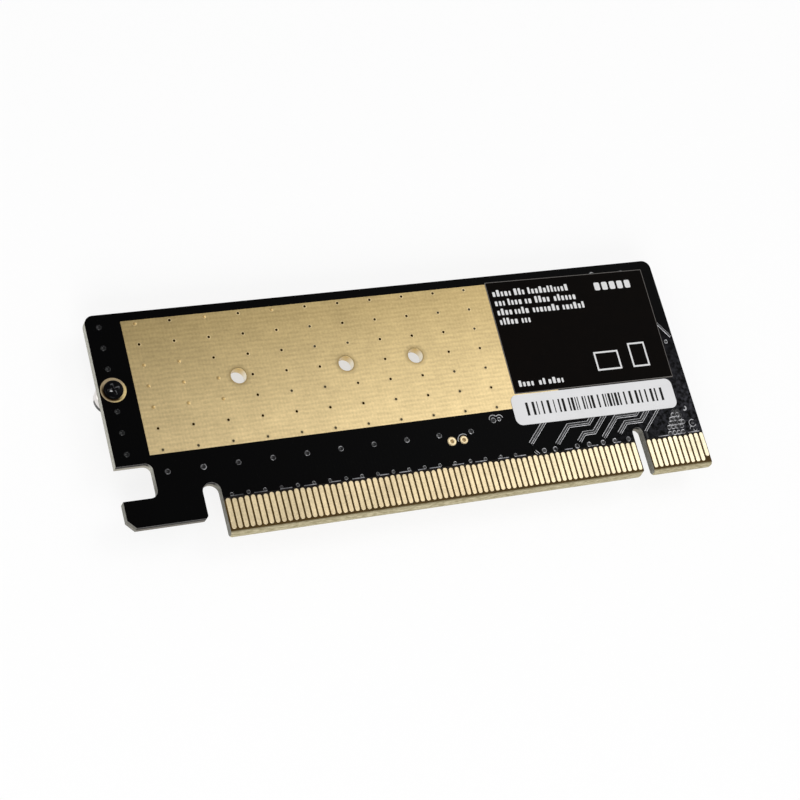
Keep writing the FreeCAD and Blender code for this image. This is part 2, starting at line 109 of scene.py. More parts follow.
def last_ring(rings, count):
    """The flat face that closes the last ring."""
    return [list(range((rings - 1) * count, rings * count))]


def outline(width, length, radius, steps):
    """Rectangle with round corners, counter-clockwise: four quarter circles of the radius,
    each about a centre that lies the radius inside the corner. The radius stays under half
    of the narrower side, so no two points fall together."""
    radius = min(radius, 0.49 * width, 0.49 * length)
    quarter = np.linspace(0, math.pi / 2, steps + 1)
    angle = np.concatenate([quarter + k * math.pi / 2 for k in range(4)])
    side = np.repeat([[1, 1], [-1, 1], [-1, -1], [1, -1]], steps + 1, axis=0)
    centre = side * [width / 2 - radius, length / 2 - radius]
    return centre + radius * np.stack([np.cos(angle), np.sin(angle)], -1)


def plate(width, length, radius, profile, steps=3):
    """Stack of rounded outlines: each (inset, height) of the profile is one ring, in mm, and
    the last ring is closed by a flat face."""
    count = 4 * (steps + 1)
    rings = [np.column_stack([outline(width - 2 * inset, length - 2 * inset,
                                      max(radius - inset, 0.01), steps),
                              np.full(count, height)])
             for inset, height in profile]
    return np.concatenate(rings), ring_quads(len(rings), count) + last_ring(len(rings), count)


print("a plate of two rings has", len(plate(1, 2, 0.2, [(0, 0), (0.1, 0.1)])[1]), "faces")

# %% [markdown]
# ## Round pieces: turned shapes
# Barrels, eyelets, via rims and the screw's shank are round. A profile that is carried round an
# axis gives all of them, as on a lathe. The Screw modifier could do that too, but it works on
# one object at a time, and here the points are wanted for copying.


# %% Turned shapes
def turned(profile, segments, cap="last"):
    """Profile of (radius, height) in mm carried round the z axis. Faces look to the right of
    the way that the profile runs, and a flat face closes the last ring, the first or none."""
    profile = np.asarray(profile, float)
    angle = np.arange(segments) * 2 * math.pi / segments
    radius, height = profile[:, :1], profile[:, 1:]
    points = np.stack([radius * np.cos(angle), radius * np.sin(angle),
                       height + 0 * angle], -1).reshape(-1, 3)
    faces = ring_quads(len(profile), segments)
    if cap == "last":
        faces += last_ring(len(profile), segments)
    if cap == "first":
        faces.append(list(range(segments))[::-1])
    return points, faces


print("a turned step has", len(turned([(1, 0), (1, 1), (0.5, 1)], 12)[1]), "faces")

# %% [markdown]
# ## Lines: ribbons
# Traces and fine ridges in the lacquer have the same cross-section all along. A curve object
# with a bevel can get thinner at a sharp corner. Here the offset follows the mitre, so both
# sides of a line stay parallel to its runs, as an etched line's sides do.


# %% Ribbons along a path
def ribbon(path, section):
    """Cross-section of (offset, height) in mm, written from the right to the left of the way,
    carried along a path of (u, v). At a corner the offset runs along the mitre, which is the
    sum of both normals over one plus their product."""
    path, section = np.asarray(path, float), np.asarray(section, float)[::-1]
    runs = np.diff(path, axis=0)
    runs /= np.linalg.norm(runs, axis=1)[:, None]
    normals = np.stack([-runs[:, 1], runs[:, 0]], -1)
    before = np.vstack([normals[:1], normals])
    after = np.vstack([normals, normals[-1:]])
    mitre = (before + after) / (1 + (before * after).sum(1))[:, None]
    flat = path[:, None, :] + mitre[:, None, :] * section[None, :, :1]
    height = np.broadcast_to(section[None, :, 1:], flat.shape[:2] + (1,))
    points = np.concatenate([flat, height], -1).reshape(-1, 3)
    return points, ring_quads(len(path), len(section), closed=False)


print("a ribbon with one corner has",
      len(ribbon([(0, 0), (1, 0), (2, 1)], [(-0.1, 0), (0.1, 0)])[1]), "faces")

# %% [markdown]
# ## Copies and sums of shapes
# Fingers, vias and print repeat. An Array modifier repeats in even steps only. A list of places
# takes any pattern, and all copies are then one array of points in one mesh.


# %% Copies and sums
def places(u, v):
    """Points of a row or a grid; one of u and v may be a single number."""
    u, v = np.broadcast_arrays(np.asarray(u, float), np.asarray(v, float))
    return np.stack([u, v, 0 * u], -1)


def copies(shape, spots):
    """The same shape at every spot (u, v, lift)."""
    points, faces = shape
    spots = np.asarray(spots, float).reshape(-1, 3)
    everywhere = (points[None] + spots[:, None]).reshape(-1, 3)
    step = len(points)
    return everywhere, [[i + k * step for i in face] for k in range(len(spots))
                        for face in faces]


def joined(shapes):
    """Several shapes as one: faces of each are counted on from the points before it."""
    points, faces, start = [], [], 0
    for some, their_faces in shapes:
        points.append(some)
        faces += [[i + start for i in face] for face in their_faces]
        start += len(some)
    return np.concatenate(points), faces


print("three places in a row:", places([0, 1, 2], 5).tolist())

# %% [markdown]
# ## From a shape to a piece
# A piece is a mesh with a finish that rides on the card's body. It stands either for itself or
# in place of solids from the frame. Every piece could repeat these lines, but one function keeps
# all of them to the same rules.


# %% Pieces
def add_object(name, data):
    """Puts a mesh, lamp or camera into the scene."""
    made = bpy.data.objects.new(name, data)
    bpy.context.scene.collection.objects.link(made)
    return made


def dress(made, material, replaced=()):
    """Gives the object its finish and says where it belongs."""
    made.data.materials.clear()
    made.data.materials.append(material)
    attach(made, "root")
    if replaced:
        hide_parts(*replaced)
    print(f"{made.name}: {len(made.data.polygons)} faces")


def piece(name, shape, level, material, slot, replaced=(), flip=False, smooth=None):
    """Makes the object: points in (u, v, height) millimetres, with heights counted from the
    given level, outwards from the card. flip is for the component side."""
    points, faces = shape
    x, y = at(points[:, 0], points[:, 1])
    side = -1 if flip else 1
    z = level + side * points[:, 2] * MM
    mesh = bpy.data.meshes.new(name)
    mesh.from_pydata(np.stack([x, y, z], -1).tolist(), [],
                     [f[::-1] for f in faces] if flip else faces)
    if smooth is not None:
        mesh.shade_smooth()
        mesh.set_sharp_from_angle(angle=math.radians(smooth))
    dress(add_object(name, mesh), material, replaced)


print("ready to make pieces")

# %% [markdown]
# ## From a solid to a softer copy
# Some solids lack nothing but soft edges. A solid from the frame is loose triangles, which a
# Bevel modifier can't follow, so a copy of it is merged and its flat faces are joined first.


# %% Softened copies of solids
def softened(solid, name, width, material):
    """A merged copy of a solid with its hard edges rounded off by a bevel of the width."""
    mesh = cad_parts[solid].data.copy()
    mesh.name = name
    work = bmesh.new()
    work.from_mesh(mesh)
    bmesh.ops.remove_doubles(work, verts=work.verts, dist=1e-7)
    bmesh.ops.dissolve_limit(work, angle_limit=math.radians(1), verts=work.verts,
                             edges=work.edges)
    work.to_mesh(mesh)
    work.free()
    made = add_object(name, mesh)
    bevel = made.modifiers.new("soft_edges", "BEVEL")
    bevel.width, bevel.segments = width * MM, 2
    bevel.limit_method, bevel.angle_limit = "ANGLE", math.radians(40)
    bevel.harden_normals = False
    dress(made, material, (solid,))


print("ready to soften", len(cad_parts), "solids, where they need it")

# %% [markdown]
# ## Finishes
# A finish is a small network of shader nodes. Painted pictures could carry the colours, but
# they need unwrapping and have a fixed sharpness. Every finish here is worked out from the
# object's own coordinates, so it doesn't slide or stretch. These helpers shorten the writing.


# %% A finish and its nodes
def new_finish(name, colour, roughness, metallic=0.0, specular=0.5):
    """A plain finish, with its node tree, its main shader and the object's coordinates."""
    material = bpy.data.materials.new(name)
    material.use_nodes = True
    tree = material.node_tree
    shader = tree.nodes["Principled BSDF"]
    shader.inputs["Base Color"].default_value = (*colour, 1)
    shader.inputs["Roughness"].default_value = roughness
    shader.inputs["Metallic"].default_value = metallic
    shader.inputs["Specular IOR Level"].default_value = specular
    place = tree.nodes.new("ShaderNodeTexCoord").outputs["Object"]
    return material, tree, shader, place


def node(tree, kind, inputs, output=0, **settings):
    """Adds a shader node, fills or links its inputs, and returns one of its outputs."""
    made = tree.nodes.new(kind)
    for key, value in settings.items():
        setattr(made, key, value)
    for key, value in inputs.items():
        if isinstance(value, bpy.types.NodeSocket):
            tree.links.new(value, made.inputs[key])
        else:
            made.inputs[key].default_value = value
    return made.outputs[output]


print("materials so far:", len(bpy.data.materials))

# %% [markdown]
# ### Sums on numbers, vectors and colours
# A pattern is a chain of small sums, and each of them is a node. Written out, a node takes four
# lines. With one word for each kind of sum, a finish reads like a formula.


# %% Sums
def maths(tree, operation, *values, clamp=False):
    """One sum: SUBTRACT, SINE, GREATER_THAN and so on."""
    return node(tree, "ShaderNodeMath", dict(enumerate(values)), operation=operation,
                use_clamp=clamp)


def total(tree, first, *others):
    """Several values added, one after the other."""
    for other in others:
        first = maths(tree, "ADD", first, other)
    return first


def product(tree, first, *others):
    """Several values multiplied, one after the other."""
    for other in others:
        first = maths(tree, "MULTIPLY", first, other)
    return first


def vectors(tree, operation, *values):
    """One sum of vectors. The second output holds what is a number: DISTANCE and LENGTH."""
    return node(tree, "ShaderNodeVectorMath", dict(enumerate(values)), operation=operation,
                output=int(operation in ("DISTANCE", "LENGTH")))


def scaled(tree, colour, factor):
    """A colour times a factor."""
    return node(tree, "ShaderNodeVectorMath", {0: colour, "Scale": factor}, operation="SCALE")


def mixed(tree, factor, first, second):
    """Colour that goes from the first to the second as the factor goes from 0 to 1."""
    first, second = (c if isinstance(c, bpy.types.NodeSocket) else (*c, 1)
                     for c in (first, second))
    return node(tree, "ShaderNodeMix", {0: factor, 6: first, 7: second}, output=2,
                data_type="RGBA")


def paint(tree, shader, colour):
    """Gives the shader a worked-out colour."""
    tree.links.new(colour, shader.inputs["Base Color"])


print("sums ready")

# %% [markdown]
# ### Patterns
# Few surfaces have one even colour. Noise gives clouds, streaks and grain, a sine gives the even
# bands of woven glass, and ramps turn a place or a direction into a change of tone.


# %% Patterns
def noise(tree, place, size, detail=3.0):
    """Cloudy values from 0 to 1 with features of about the size, in mm."""
    return node(tree, "ShaderNodeTexNoise", {"Vector": place, "Scale": 1 / (size * MM),
                                             "Detail": detail})


def ramp(tree, value, low, high, out_low=0.0, out_high=1.0):
    """Goes evenly from out_low to out_high as the value goes from low to high, and stays."""
    return node(tree, "ShaderNodeMapRange", {"Value": value, "From Min": low,
                                             "From Max": high, "To Min": out_low,
                                             "To Max": out_high})


def clouds(tree, place, size, middle=0.5, amount=0.5, detail=3.0):
    """Noise spread out over the middle value, less and plus the amount."""
    return ramp(tree, noise(tree, place, size, detail), 0.3, 0.7, middle - amount,
                middle + amount)


def axes(tree, vector):
    """The three parts of a vector."""
    made = tree.nodes.new("ShaderNodeSeparateXYZ")
    tree.links.new(vector, made.inputs[0])
    return made.outputs


def facing(tree):
    """The three parts of the surface's own direction."""
    return axes(tree, tree.nodes.new("ShaderNodeNewGeometry").outputs["Normal"])


def along(tree, place, axis, low, high, *levels):
    """Ramp between two places on the card, which are u for axis 0 and v for axis 1."""
    return ramp(tree, axes(tree, place)[axis], at(low, low)[axis], at(high, high)[axis],
                *levels)


def bands(tree, value, period):
    """Even waves from -1 to 1 along a coordinate, with the period in mm."""
    return maths(tree, "SINE", product(tree, value, 2 * math.pi / (period * MM)))


def relief(tree, shader, height, depth):
    """Lets light see a height pattern, whose full depth is in mm."""
    tree.links.new(node(tree, "ShaderNodeBump", {"Height": height, "Distance": depth * MM,
                                                 "Strength": 1.0}),
                   shader.inputs["Normal"])


print("patterns ready")

# %% [markdown]
# ### Laminate
# Glass cloth in resin, cut by a router. The big faces are dark under the mask and brown where
# the mask ends between the fingers, with painted shade between the pads. The bevelled insertion
# edge is ground, so it is pale and streaked, with a brown top line. The routed sides are
# grey-green below and dark in the upper half, with a painted highlight along the top corner, and
# the cut ends near the insertion edge carry painted shade. Each would be a material of its own
# if the faces could be picked. The solid is left as it is, so one finish tells them apart by
# direction and height.

# %% Laminate
GROUND_RISE, MASK_RISE = 0.7, (5.2, 5.8)    # bevel's top and mask's edge, above the edge
laminate, t, s, place = new_finish("laminate", (0.1, 0.09, 0.06), 0.6, specular=0.15)
x_face, _, up_face = facing(t)
_, y, z = axes(t, place)
rise = maths(t, "SUBTRACT", y, board_low.y)
height = ramp(t, z, board_low.z, board_high.z)
fibre = noise(t, vectors(t, "MULTIPLY", place, (0.18, 1, 1)), 0.16)
lower_half = mixed(t, ramp(t, rise, 5 * MM, 12 * MM), (0.17, 0.155, 0.13), (0.38, 0.355, 0.30))
routed = mixed(t, ramp(t, height, 0.42, 0.58), lower_half, (0.018, 0.015, 0.013))
# Painted highlight: a light line along the top corner of the routed sides.
routed = mixed(t, ramp(t, height, 0.90, 0.94), routed, (0.17, 0.165, 0.16))
cut_end = mixed(t, clouds(t, place, 0.5), (0.42, 0.41, 0.35), (0.62, 0.61, 0.54))
# Painted shade: the cut ends are darker within about 13 mm of the insertion edge, as in the key
# notch.
cut_end = mixed(t, ramp(t, rise, 9 * MM, 13 * MM, 0.55, 0), cut_end, (0.02, 0.018, 0.015))
side = mixed(t, ramp(t, maths(t, "ABSOLUTE", x_face), 0.5, 0.9), routed, cut_end)
ground = mixed(t, ramp(t, fibre, 0.35, 0.65), (0.33, 0.285, 0.165), (0.57, 0.51, 0.34))
ground = mixed(t, ramp(t, height, 0.88, 0.99, 0, 0.8), ground, (0.10, 0.072, 0.026))
# The bare laminate is brown, and darkened further as painted shade between the pads.
bare = mixed(t, clouds(t, place, 1.5), (0.050, 0.028, 0.004), (0.082, 0.047, 0.009))
flat = mixed(t, ramp(t, rise, MASK_RISE[0] * MM, MASK_RISE[1] * MM), bare,
             (0.006, 0.004, 0.003))
is_flat = maths(t, "GREATER_THAN", maths(t, "ABSOLUTE", up_face), 0.95)
is_ground = product(t, maths(t, "LESS_THAN", rise, GROUND_RISE * MM),
                    maths(t, "LESS_THAN", maths(t, "ABSOLUTE", x_face), 0.9))
paint(t, s, mixed(t, is_flat, mixed(t, is_ground, side, ground), flat))
relief(t, s, fibre, 0.02)
print("laminate finish has", len(t.nodes), "nodes")

# %% [markdown]
# ### Solder mask
# Black satin lacquer, printed and baked. It is nearly black from straight above, with the
# slightest ripple of the glass cloth under it, and a painted sheen near the lower right corner.
# A plain black could be used, but without the ripple its shine looks like glass.

# %% Solder mask
CLOTH_U, CLOTH_V = 0.57, 0.77      # periods of the woven glass along the card and across
BLACK = (0.0008, 0.0008, 0.0009)
solder_mask, t, s, place = new_finish("solder_mask", BLACK, 0.38, specular=0.028)
x, y, _ = axes(t, place)
# Painted sheen: a grey cloud towards the lower right corner.
painted_sheen = product(t, ramp(t, noise(t, place, 0.6, 5.0), 0.38, 0.66), along(t, place, 0, 66, 84),
               along(t, place, 1, 26, 12))
paint(t, s, mixed(t, painted_sheen, BLACK, (0.042, 0.042, 0.050)))
weave = total(t, bands(t, x, CLOTH_U), bands(t, y, CLOTH_V))
relief(t, s, total(t, product(t, weave, 0.15), noise(t, place, 0.4)), 0.006)
print("mask finish has", len(t.nodes), "nodes")

# %% [markdown]
# ### Gold
# Copper plated with nickel and a breath of gold. The big area shows the glass cloth under it
# as fine bands along the card and weaker ones across, and it is matt and a little mottled. The
# fingers are smoother and paler. One function with a few strengths makes all of them, so that
# they stay one family.


# %% Gold, and the holes that darken it
def gold(name, colour, roughness, weave=0.0, mottle=0.06, grainy=0.04, near=None,
         right=None, painted_tilt=(1.0, 1.0), holes=()):
    """Gold with cloth bands of the given strength, soft patches and grain. Where near is
    given, the colour goes over to it from the far side of the card to the near side, as painted
    light that brightens the near side, and with right it does so along the right half, as a
    painted reflection that is paler there. The tilt is a painted brightness at the left and
    right ends, and about holes the gold is a little darker."""
    material, t, s, place = new_finish(name, colour, roughness, metallic=1.0)
    x, y, _ = axes(t, place)
    wander = product(t, noise(t, place, 2.5), 0.5 * MM)
    cloth = total(t, bands(t, total(t, y, wander), CLOTH_V),
                  product(t, bands(t, x, CLOTH_U), 0.45))
    drawn_out = vectors(t, "MULTIPLY", place, (0.2, 1, 1))
    tone = total(t, product(t, cloth, weave), clouds(t, place, 4.0, 0, mottle),
                 clouds(t, drawn_out, 0.45, 0, weave, detail=2.0),
                 clouds(t, place, 0.3, 1, grainy))
    low, high = board_low.y + 12 * MM, board_high.y - 3 * MM
    # Painted light: brighter towards the near side, and a paler painted reflection along the
    # right half where right is given.
    base = mixed(t, ramp(t, y, high, low), colour, near or colour)
    if right:
        base = mixed(t, ramp(t, x, at(38, 0)[0], board_high.x), base, right)
    # Painted brightness from the left end to the right end.
    tone = product(t, tone, ramp(t, x, board_low.x, board_high.x, *painted_tilt))
    for hole in holes:
        away = vectors(t, "DISTANCE", place, hole)
        tone = product(t, tone, ramp(t, away, 1.45 * MM, 2.1 * MM, 0.75, 1.0))
    paint(t, s, scaled(t, base, tone))
    relief(t, s, total(t, product(t, cloth, 0.3), noise(t, place, 0.3)), 0.004)
    return material


LONGEST, LENGTHS = 80.0, np.array([30.0, 42.0, 60.0])   # lengths of module that fit
standoff_u, axis_v = middle_of("standoff")
hole_u = standoff_u + LONGEST - LENGTHS
hole_points = [(*at(u, axis_v), COPPER_TOP) for u in hole_u]
# The thermal gold is painted lighter towards the insertion edge, and the fingers paler at their
# right end: painted light.
thermal_gold = gold("thermal_gold", (0.405, 0.305, 0.141), 0.37, weave=0.05, grainy=0.08,
                    near=(0.645, 0.505, 0.27), painted_tilt=(1.11, 0.86), holes=hole_points)
finger_gold = gold("finger_gold", (0.715, 0.586, 0.365), 0.41, mottle=0.10, grainy=0.12,
                   right=(0.82, 0.74, 0.53), painted_tilt=(1.0, 0.95))
pad_gold = gold("pad_gold", (0.73, 0.59, 0.36), 0.38, mottle=0.05)
contact_gold = gold("contact_gold", (0.83, 0.62, 0.28), 0.25, mottle=0.02)
print("length holes at u", np.round(hole_u, 2), "and v", round(axis_v, 2))

# %% [markdown]
# ### Plastic, tin, ceramic and print
# Moulded black plastic for the socket, tin for the tabs and terminals, tan ceramic for the
# capacitors, black glass for the resistors, and ink for the print. Each is one colour that
# varies a little, so one function with the amount of variation is enough.


# %% Speckled finishes
def speckled(name, colour, roughness, size, amount, metallic=0.0, specular=0.5, depth=0.0):
    """A plain colour with a fine random variation of the amount and, if asked, a relief."""
    material, t, s, place = new_finish(name, colour, roughness, metallic, specular)
    paint(t, s, scaled(t, colour, clouds(t, place, size, 1, amount)))
    if depth:
        relief(t, s, noise(t, place, size), depth)
    return material


socket_plastic = speckled("socket_plastic", (0.012, 0.012, 0.013), 0.45, 0.3, 0.15,
                          specular=0.3, depth=0.01)
tinned_metal = speckled("tinned_metal", (0.72, 0.72, 0.70), 0.3, 0.25, 0.06, metallic=1.0,
                        depth=0.004)
ceramic = speckled("capacitor_ceramic", (0.36, 0.25, 0.16), 0.55, 0.3, 0.08)
resistor_coat = speckled("resistor_coat", (0.015, 0.015, 0.017), 0.35, 0.3, 0.1)
print_white = speckled("print_white", (0.78, 0.78, 0.78), 0.6, 0.5, 0.03)
print_black = speckled("print_black", (0.006, 0.006, 0.006), 0.6, 0.5, 0.1, specular=0.15)
print("speckled finishes made")

# %% [markdown]
# ### Standoff and screw
# The standoff is bright nickel, and its lowest rim is dark at the front left, where it mirrors
# what is under the card. A real mirror would need more things around it, so the dark is painted
# on by direction and height. The screw has black oxide with a painted highlight on the steep
# walls of its cross, and a near-white painted glint at one spot.

# %% Standoff and screw
standoff_metal, t, s, place = new_finish("standoff_metal", (0.75, 0.74, 0.72), 0.28,
                                         metallic=1.0)
x_part, y_part, _ = facing(t)
front_left = maths(t, "COMPARE", maths(t, "ARCTAN2", y_part, x_part), math.radians(-150),
                   math.radians(36))
low_rim = maths(t, "LESS_THAN", axes(t, place)[2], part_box("standoff")[0].z + 1.1 * MM)
paint(t, s, mixed(t, product(t, front_left, low_rim), (0.78, 0.745, 0.72),
                  (0.02, 0.018, 0.016)))

OXIDE = (0.002, 0.002, 0.0025)
CROSS_REACH, GLINT_SPOT = 1.05, (-0.42, -0.20)     # of the painted highlight on the cross's walls, and of the painted glint
screw_point = (*at(standoff_u, axis_v), COPPER_TOP)


def from_screw(tree, place):
    """The way from the screw's axis to a point, level with the card."""
    return vectors(tree, "MULTIPLY", vectors(tree, "SUBTRACT", place, screw_point), (1, 1, 0))


black_screw, t, s, place = new_finish("black_screw", OXIDE, 0.22, specular=0.04)
away = from_screw(t, place)
steep = ramp(t, maths(t, "ABSOLUTE", facing(t)[2]), 0.93, 0.75)
in_cross = maths(t, "LESS_THAN", vectors(t, "LENGTH", away), CROSS_REACH * MM)
# Painted highlight on the steep walls of the cross, in patches, and a near-white painted glint.
cross_highlight = product(t, steep, in_cross, ramp(t, noise(t, place, 0.7), 0.40, 0.55, 0.15, 1.0))
off_glint = vectors(t, "DISTANCE", away, (GLINT_SPOT[0] * MM, GLINT_SPOT[1] * MM, 0))
paint(t, s, mixed(t, ramp(t, off_glint, 0.13 * MM, 0.24 * MM, 1, 0),
                  mixed(t, cross_highlight, OXIDE, (0.11, 0.11, 0.115)), (0.9, 0.9, 0.9)))
print("screw stands at u", round(standoff_u, 2))

# %% [markdown]
# ### Label film
# Printed film with a satin face and a paler cut edge. Two materials on one mesh would need its
# faces sorted. The direction of the surface tells the edge from the face as well.


# %% Label film
def film(name, colour, edge, roughness, specular, size, amount):
    """Label film: the face has the colour and the cut edge is paler."""
    material, t, s, place = new_finish(name, colour, roughness, specular=specular)
    on_top = maths(t, "GREATER_THAN", facing(t)[2], 0.97)
    paint(t, s, mixed(t, on_top, edge,
                      scaled(t, colour, clouds(t, place, size, 1, amount))))
    relief(t, s, noise(t, place, 0.5), 0.003)
    return material


black_label = film("black_label", (0.0016, 0.0008, 0.0004), (0.16, 0.15, 0.14), 0.42, 0.025,
                   2.0, 0.2)
white_label = film("white_label", (0.82, 0.82, 0.83), (0.55, 0.55, 0.55), 0.5, 0.3, 3.0, 0.02)
print("film finishes made")

# %% [markdown]
# ## Solids that keep their shape
# Laminate, masks, copper areas, the socket's contacts and the terminals look right as they come
# from the frame, so they need only a finish. They could be copied like the rest, but a solid
# that is left alone can't drift from the part.

# %% Finishes for solids
finishes = {
    "board_laminate": laminate, "solder_side_mask": solder_mask,
    "component_side_mask": solder_mask, "solder_side_copper": thermal_gold,
    "component_side_copper": thermal_gold, "socket_upper_contacts": contact_gold,
    "socket_lower_contacts": contact_gold, "bulk_capacitor_terminals": tinned_metal,
    "bypass_capacitor_terminals": tinned_metal, "resistor_terminals": tinned_metal,
}
for name, material in finishes.items():
    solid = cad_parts[name]
    solid.data.materials.clear()
    solid.data.materials.append(material)
print(len(finishes), "solids dressed")

# %% [markdown]
# ## Solids with soft edges
# Moulded plastic, pressed tabs, a turned standoff and fired chips have no knife edges. Light
# catches on a rounded edge, so a small bevel says more about size than any texture.

# %% Softened copies
softened("socket_housing", "socket_housing_soft", 0.08, socket_plastic)
softened("socket_solder_tabs", "socket_tabs_soft", 0.05, tinned_metal)
softened("standoff", "standoff_soft", 0.08, standoff_metal)
softened("bulk_capacitor_bodies", "bulk_capacitors_soft", 0.06, ceramic)
softened("bypass_capacitor_bodies", "bypass_capacitors_soft", 0.04, ceramic)
softened("resistor_bodies", "resistors_soft", 0.03, resistor_coat)

# %% [markdown]
# ## Contact fingers
# Each finger is a plated pad with round ends and softly raised edges. The pads of signal pairs
# reach a little higher than the ones between them, and the last one of the short bank starts
# later, so that it touches last. The solids from the frame have sharp edges. A plate with a
# soft edge gives each pad the thin highlight that tells one from the next.

# %% Contact fingers
PITCH, WIDTH, END_RADIUS = 1.0, 0.7, 0.3
LONG_BANK, SHORT_BANK = 71, 11     # pads on each side of the key notch
SHORT_BANK_START = 73.5
SHORTER_TOP = 0.12                 # what the pads between the pairs lack at the top
LATE_START = 0.7                   # what the last pad lacks at its lower end
PADS = LONG_BANK + SHORT_BANK
finger_height = (finger_high.z - FACE) / MM
finger_end, finger_top = back_to(0, finger_low.y)[1], back_to(0, finger_high.y)[1]
centres = np.concatenate([PITCH / 2 + PITCH * np.arange(LONG_BANK),
                          SHORT_BANK_START + PITCH * np.arange(SHORT_BANK)])
in_pair = np.isin(np.arange(PADS) % 4, (0, 3))
pad_profile = [(0.0, 0.0), (0.0, 0.6 * finger_height), (0.03, finger_height)]


def finger_bank(u, low, high):
    """Pads centred at each u that span from low to high, as copies of one plate."""
    return copies(plate(WIDTH, high - low, END_RADIUS, pad_profile),
                  places(u, (low + high) / 2))


def all_fingers(late):
    """Both heights of pad, and the late one at the end that is asked for."""
    plain = np.arange(PADS) != late
    return joined([
        finger_bank(centres[in_pair & plain], finger_end, finger_top),
        finger_bank(centres[~in_pair & plain], finger_end, finger_top - SHORTER_TOP),
        finger_bank(centres[[late]], finger_end + LATE_START, finger_top),
    ])


piece("solder_fingers", all_fingers(PADS - 1), FACE, finger_gold, "finger_gold",
      ("solder_side_fingers",))
piece("component_fingers", all_fingers(0), BACK_FACE, finger_gold, "finger_gold",
      ("component_side_fingers",), flip=True)

# %% [markdown]
# ## Vias of the gold area: where they stand
# A via is a drilled and plated hole, 0.4 mm wide, that carries heat through the card. Most are
# open, some are filled with resin and show as flat olive spots, and some are plated over and
# show as small golden domes. They stand in a grid about the module's centre line, and the ones
# that would touch a length hole are left out. A distance to the nearest hole decides that.

# %% Grid of vias
VIA_COLUMNS, VIA_ROWS = 11, 7
VIA_MARGIN, VIA_STEP_U, VIA_STEP_V = 2.15, 5.6, 3.5
HOLE_CLEARANCE = 1.9
copper_left = back_to(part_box("solder_side_copper")[0].x, 0)[0]
columns, rows = np.meshgrid(np.arange(VIA_COLUMNS), np.arange(VIA_ROWS), indexing="ij")
via_u = copper_left + VIA_MARGIN + VIA_STEP_U * columns
via_v = axis_v + VIA_STEP_V * (rows - VIA_ROWS // 2)
nearest = np.hypot(via_u[..., None] - hole_u, (via_v - axis_v)[..., None]).min(-1)
kept = nearest > HOLE_CLEARANCE


def marked(chosen):
    """Grid of yes and no, from the rows that are chosen in each column."""
    grid = np.zeros_like(kept)
    for column, its_rows in chosen.items():
        grid[column, list(its_rows)] = True
    return grid


golden = marked({0: (2, 3, 4, 6), 1: (2, 3, 4), 2: (2, 3, 6), 4: (6,)})
olive = (rows == 0) | marked({4: (2,), 5: (2, 4, 5), 6: (4,), 7: (1,), 9: (1, 2, 5),
                              10: (2, 4, 5, 6)})
print("vias:", kept.sum(), "of which golden:", (golden & kept).sum())

# %% [markdown]
# ## Vias of the gold area: rims, pits and caps
# An open via looks like a dark dot with a thin raised rim. Holes could be cut into the gold
# solid, but it is left as it comes, and a hole this small doesn't show its depth. A turned rim
# and a dark disc of painted shade a hair above the gold show the same, and a domed disc makes a
# cap.

# %% Rims, pits and caps
RIM, PIT = 0.36, 0.22
rim_shape = turned([(RIM, 0.0), (RIM - 0.03, 0.012), (0.27, 0.016), (PIT, 0.004)], 12,
                   cap=None)
pit_shape = turned([(PIT + 0.01, 0.003), (PIT, 0.004)], 10)
dome_shape = turned([(0.31, 0.0), (0.27, 0.035), (0.19, 0.058), (0.07, 0.066)], 12)
# Painted shade: a dark disc stands where an open via is dark inside.
pit_shade = speckled("via_pit", (0.02, 0.009, 0.001), 0.8, 0.2, 0.2, specular=0.0)
pit_olive = speckled("via_resin", (0.055, 0.040, 0.014), 0.5, 0.2, 0.2, specular=0.3)
dome_gold = gold("via_cap", (0.56, 0.39, 0.16), 0.3, mottle=0.15)
rim_gold = gold("via_rim", (0.60, 0.47, 0.25), 0.37, mottle=0.15)


def vias(name, shape, chosen, finish, slot, level=COPPER_TOP, **look):
    """The shape at every via that is chosen and kept."""
    chosen = chosen & kept
    piece(name, copies(shape, places(via_u[chosen], via_v[chosen])), level, finish, slot,
          **look)


vias("solder_via_rims", rim_shape, kept, rim_gold, "thermal_gold", smooth=60)
vias("solder_via_pits", pit_shape, ~golden & ~olive, pit_shade, "laminate")
vias("solder_via_resin", pit_shape, olive & ~golden, pit_olive, "laminate")
vias("solder_via_caps", dome_shape, golden, dome_gold, "thermal_gold", smooth=60)
vias("component_via_rims", rim_shape, kept, rim_gold, "thermal_gold", BACK_COPPER, flip=True,
     smooth=60)
vias("component_via_pits", pit_shape, kept, pit_shade, "laminate", BACK_COPPER, flip=True)

# %% [markdown]
# ## Length holes
# Three plated holes, one for each shorter module. The plating has a polished wall and a matt
# rounded lip on both faces, and the gold around it is a little darker. The solid has sharp
# lips. Here the profile of a barrel closes on itself, so light runs round it, and the direction
# of the surface tells lip from wall. The wall's colour is painted light: pale cream, and tan
# where it faces the insertion edge.

# %% Length holes
BORE, LIP, SOFT = 1.25, 1.41, 0.05
top, bottom = (COPPER_TOP - FACE) / MM, (BACK_COPPER - FACE) / MM
barrel_profile = [(LIP, top - SOFT), (LIP - 0.02, top - 0.01), (LIP - SOFT, top),
                  (BORE + SOFT, top), (BORE + 0.01, top - 0.02), (BORE, top - SOFT),
                  (BORE, bottom + SOFT), (BORE + 0.01, bottom + 0.02), (BORE + SOFT, bottom),
                  (LIP - SOFT, bottom), (LIP - 0.02, bottom + 0.01), (LIP, bottom + SOFT),
                  (LIP, top - SOFT)]
wall_gold, t, s, place = new_finish("wall_gold", (0.95, 0.85, 0.62), 0.16, metallic=1.0)
_, wall_v, wall_up = facing(t)
is_lip = maths(t, "GREATER_THAN", maths(t, "ABSOLUTE", wall_up), 0.5)
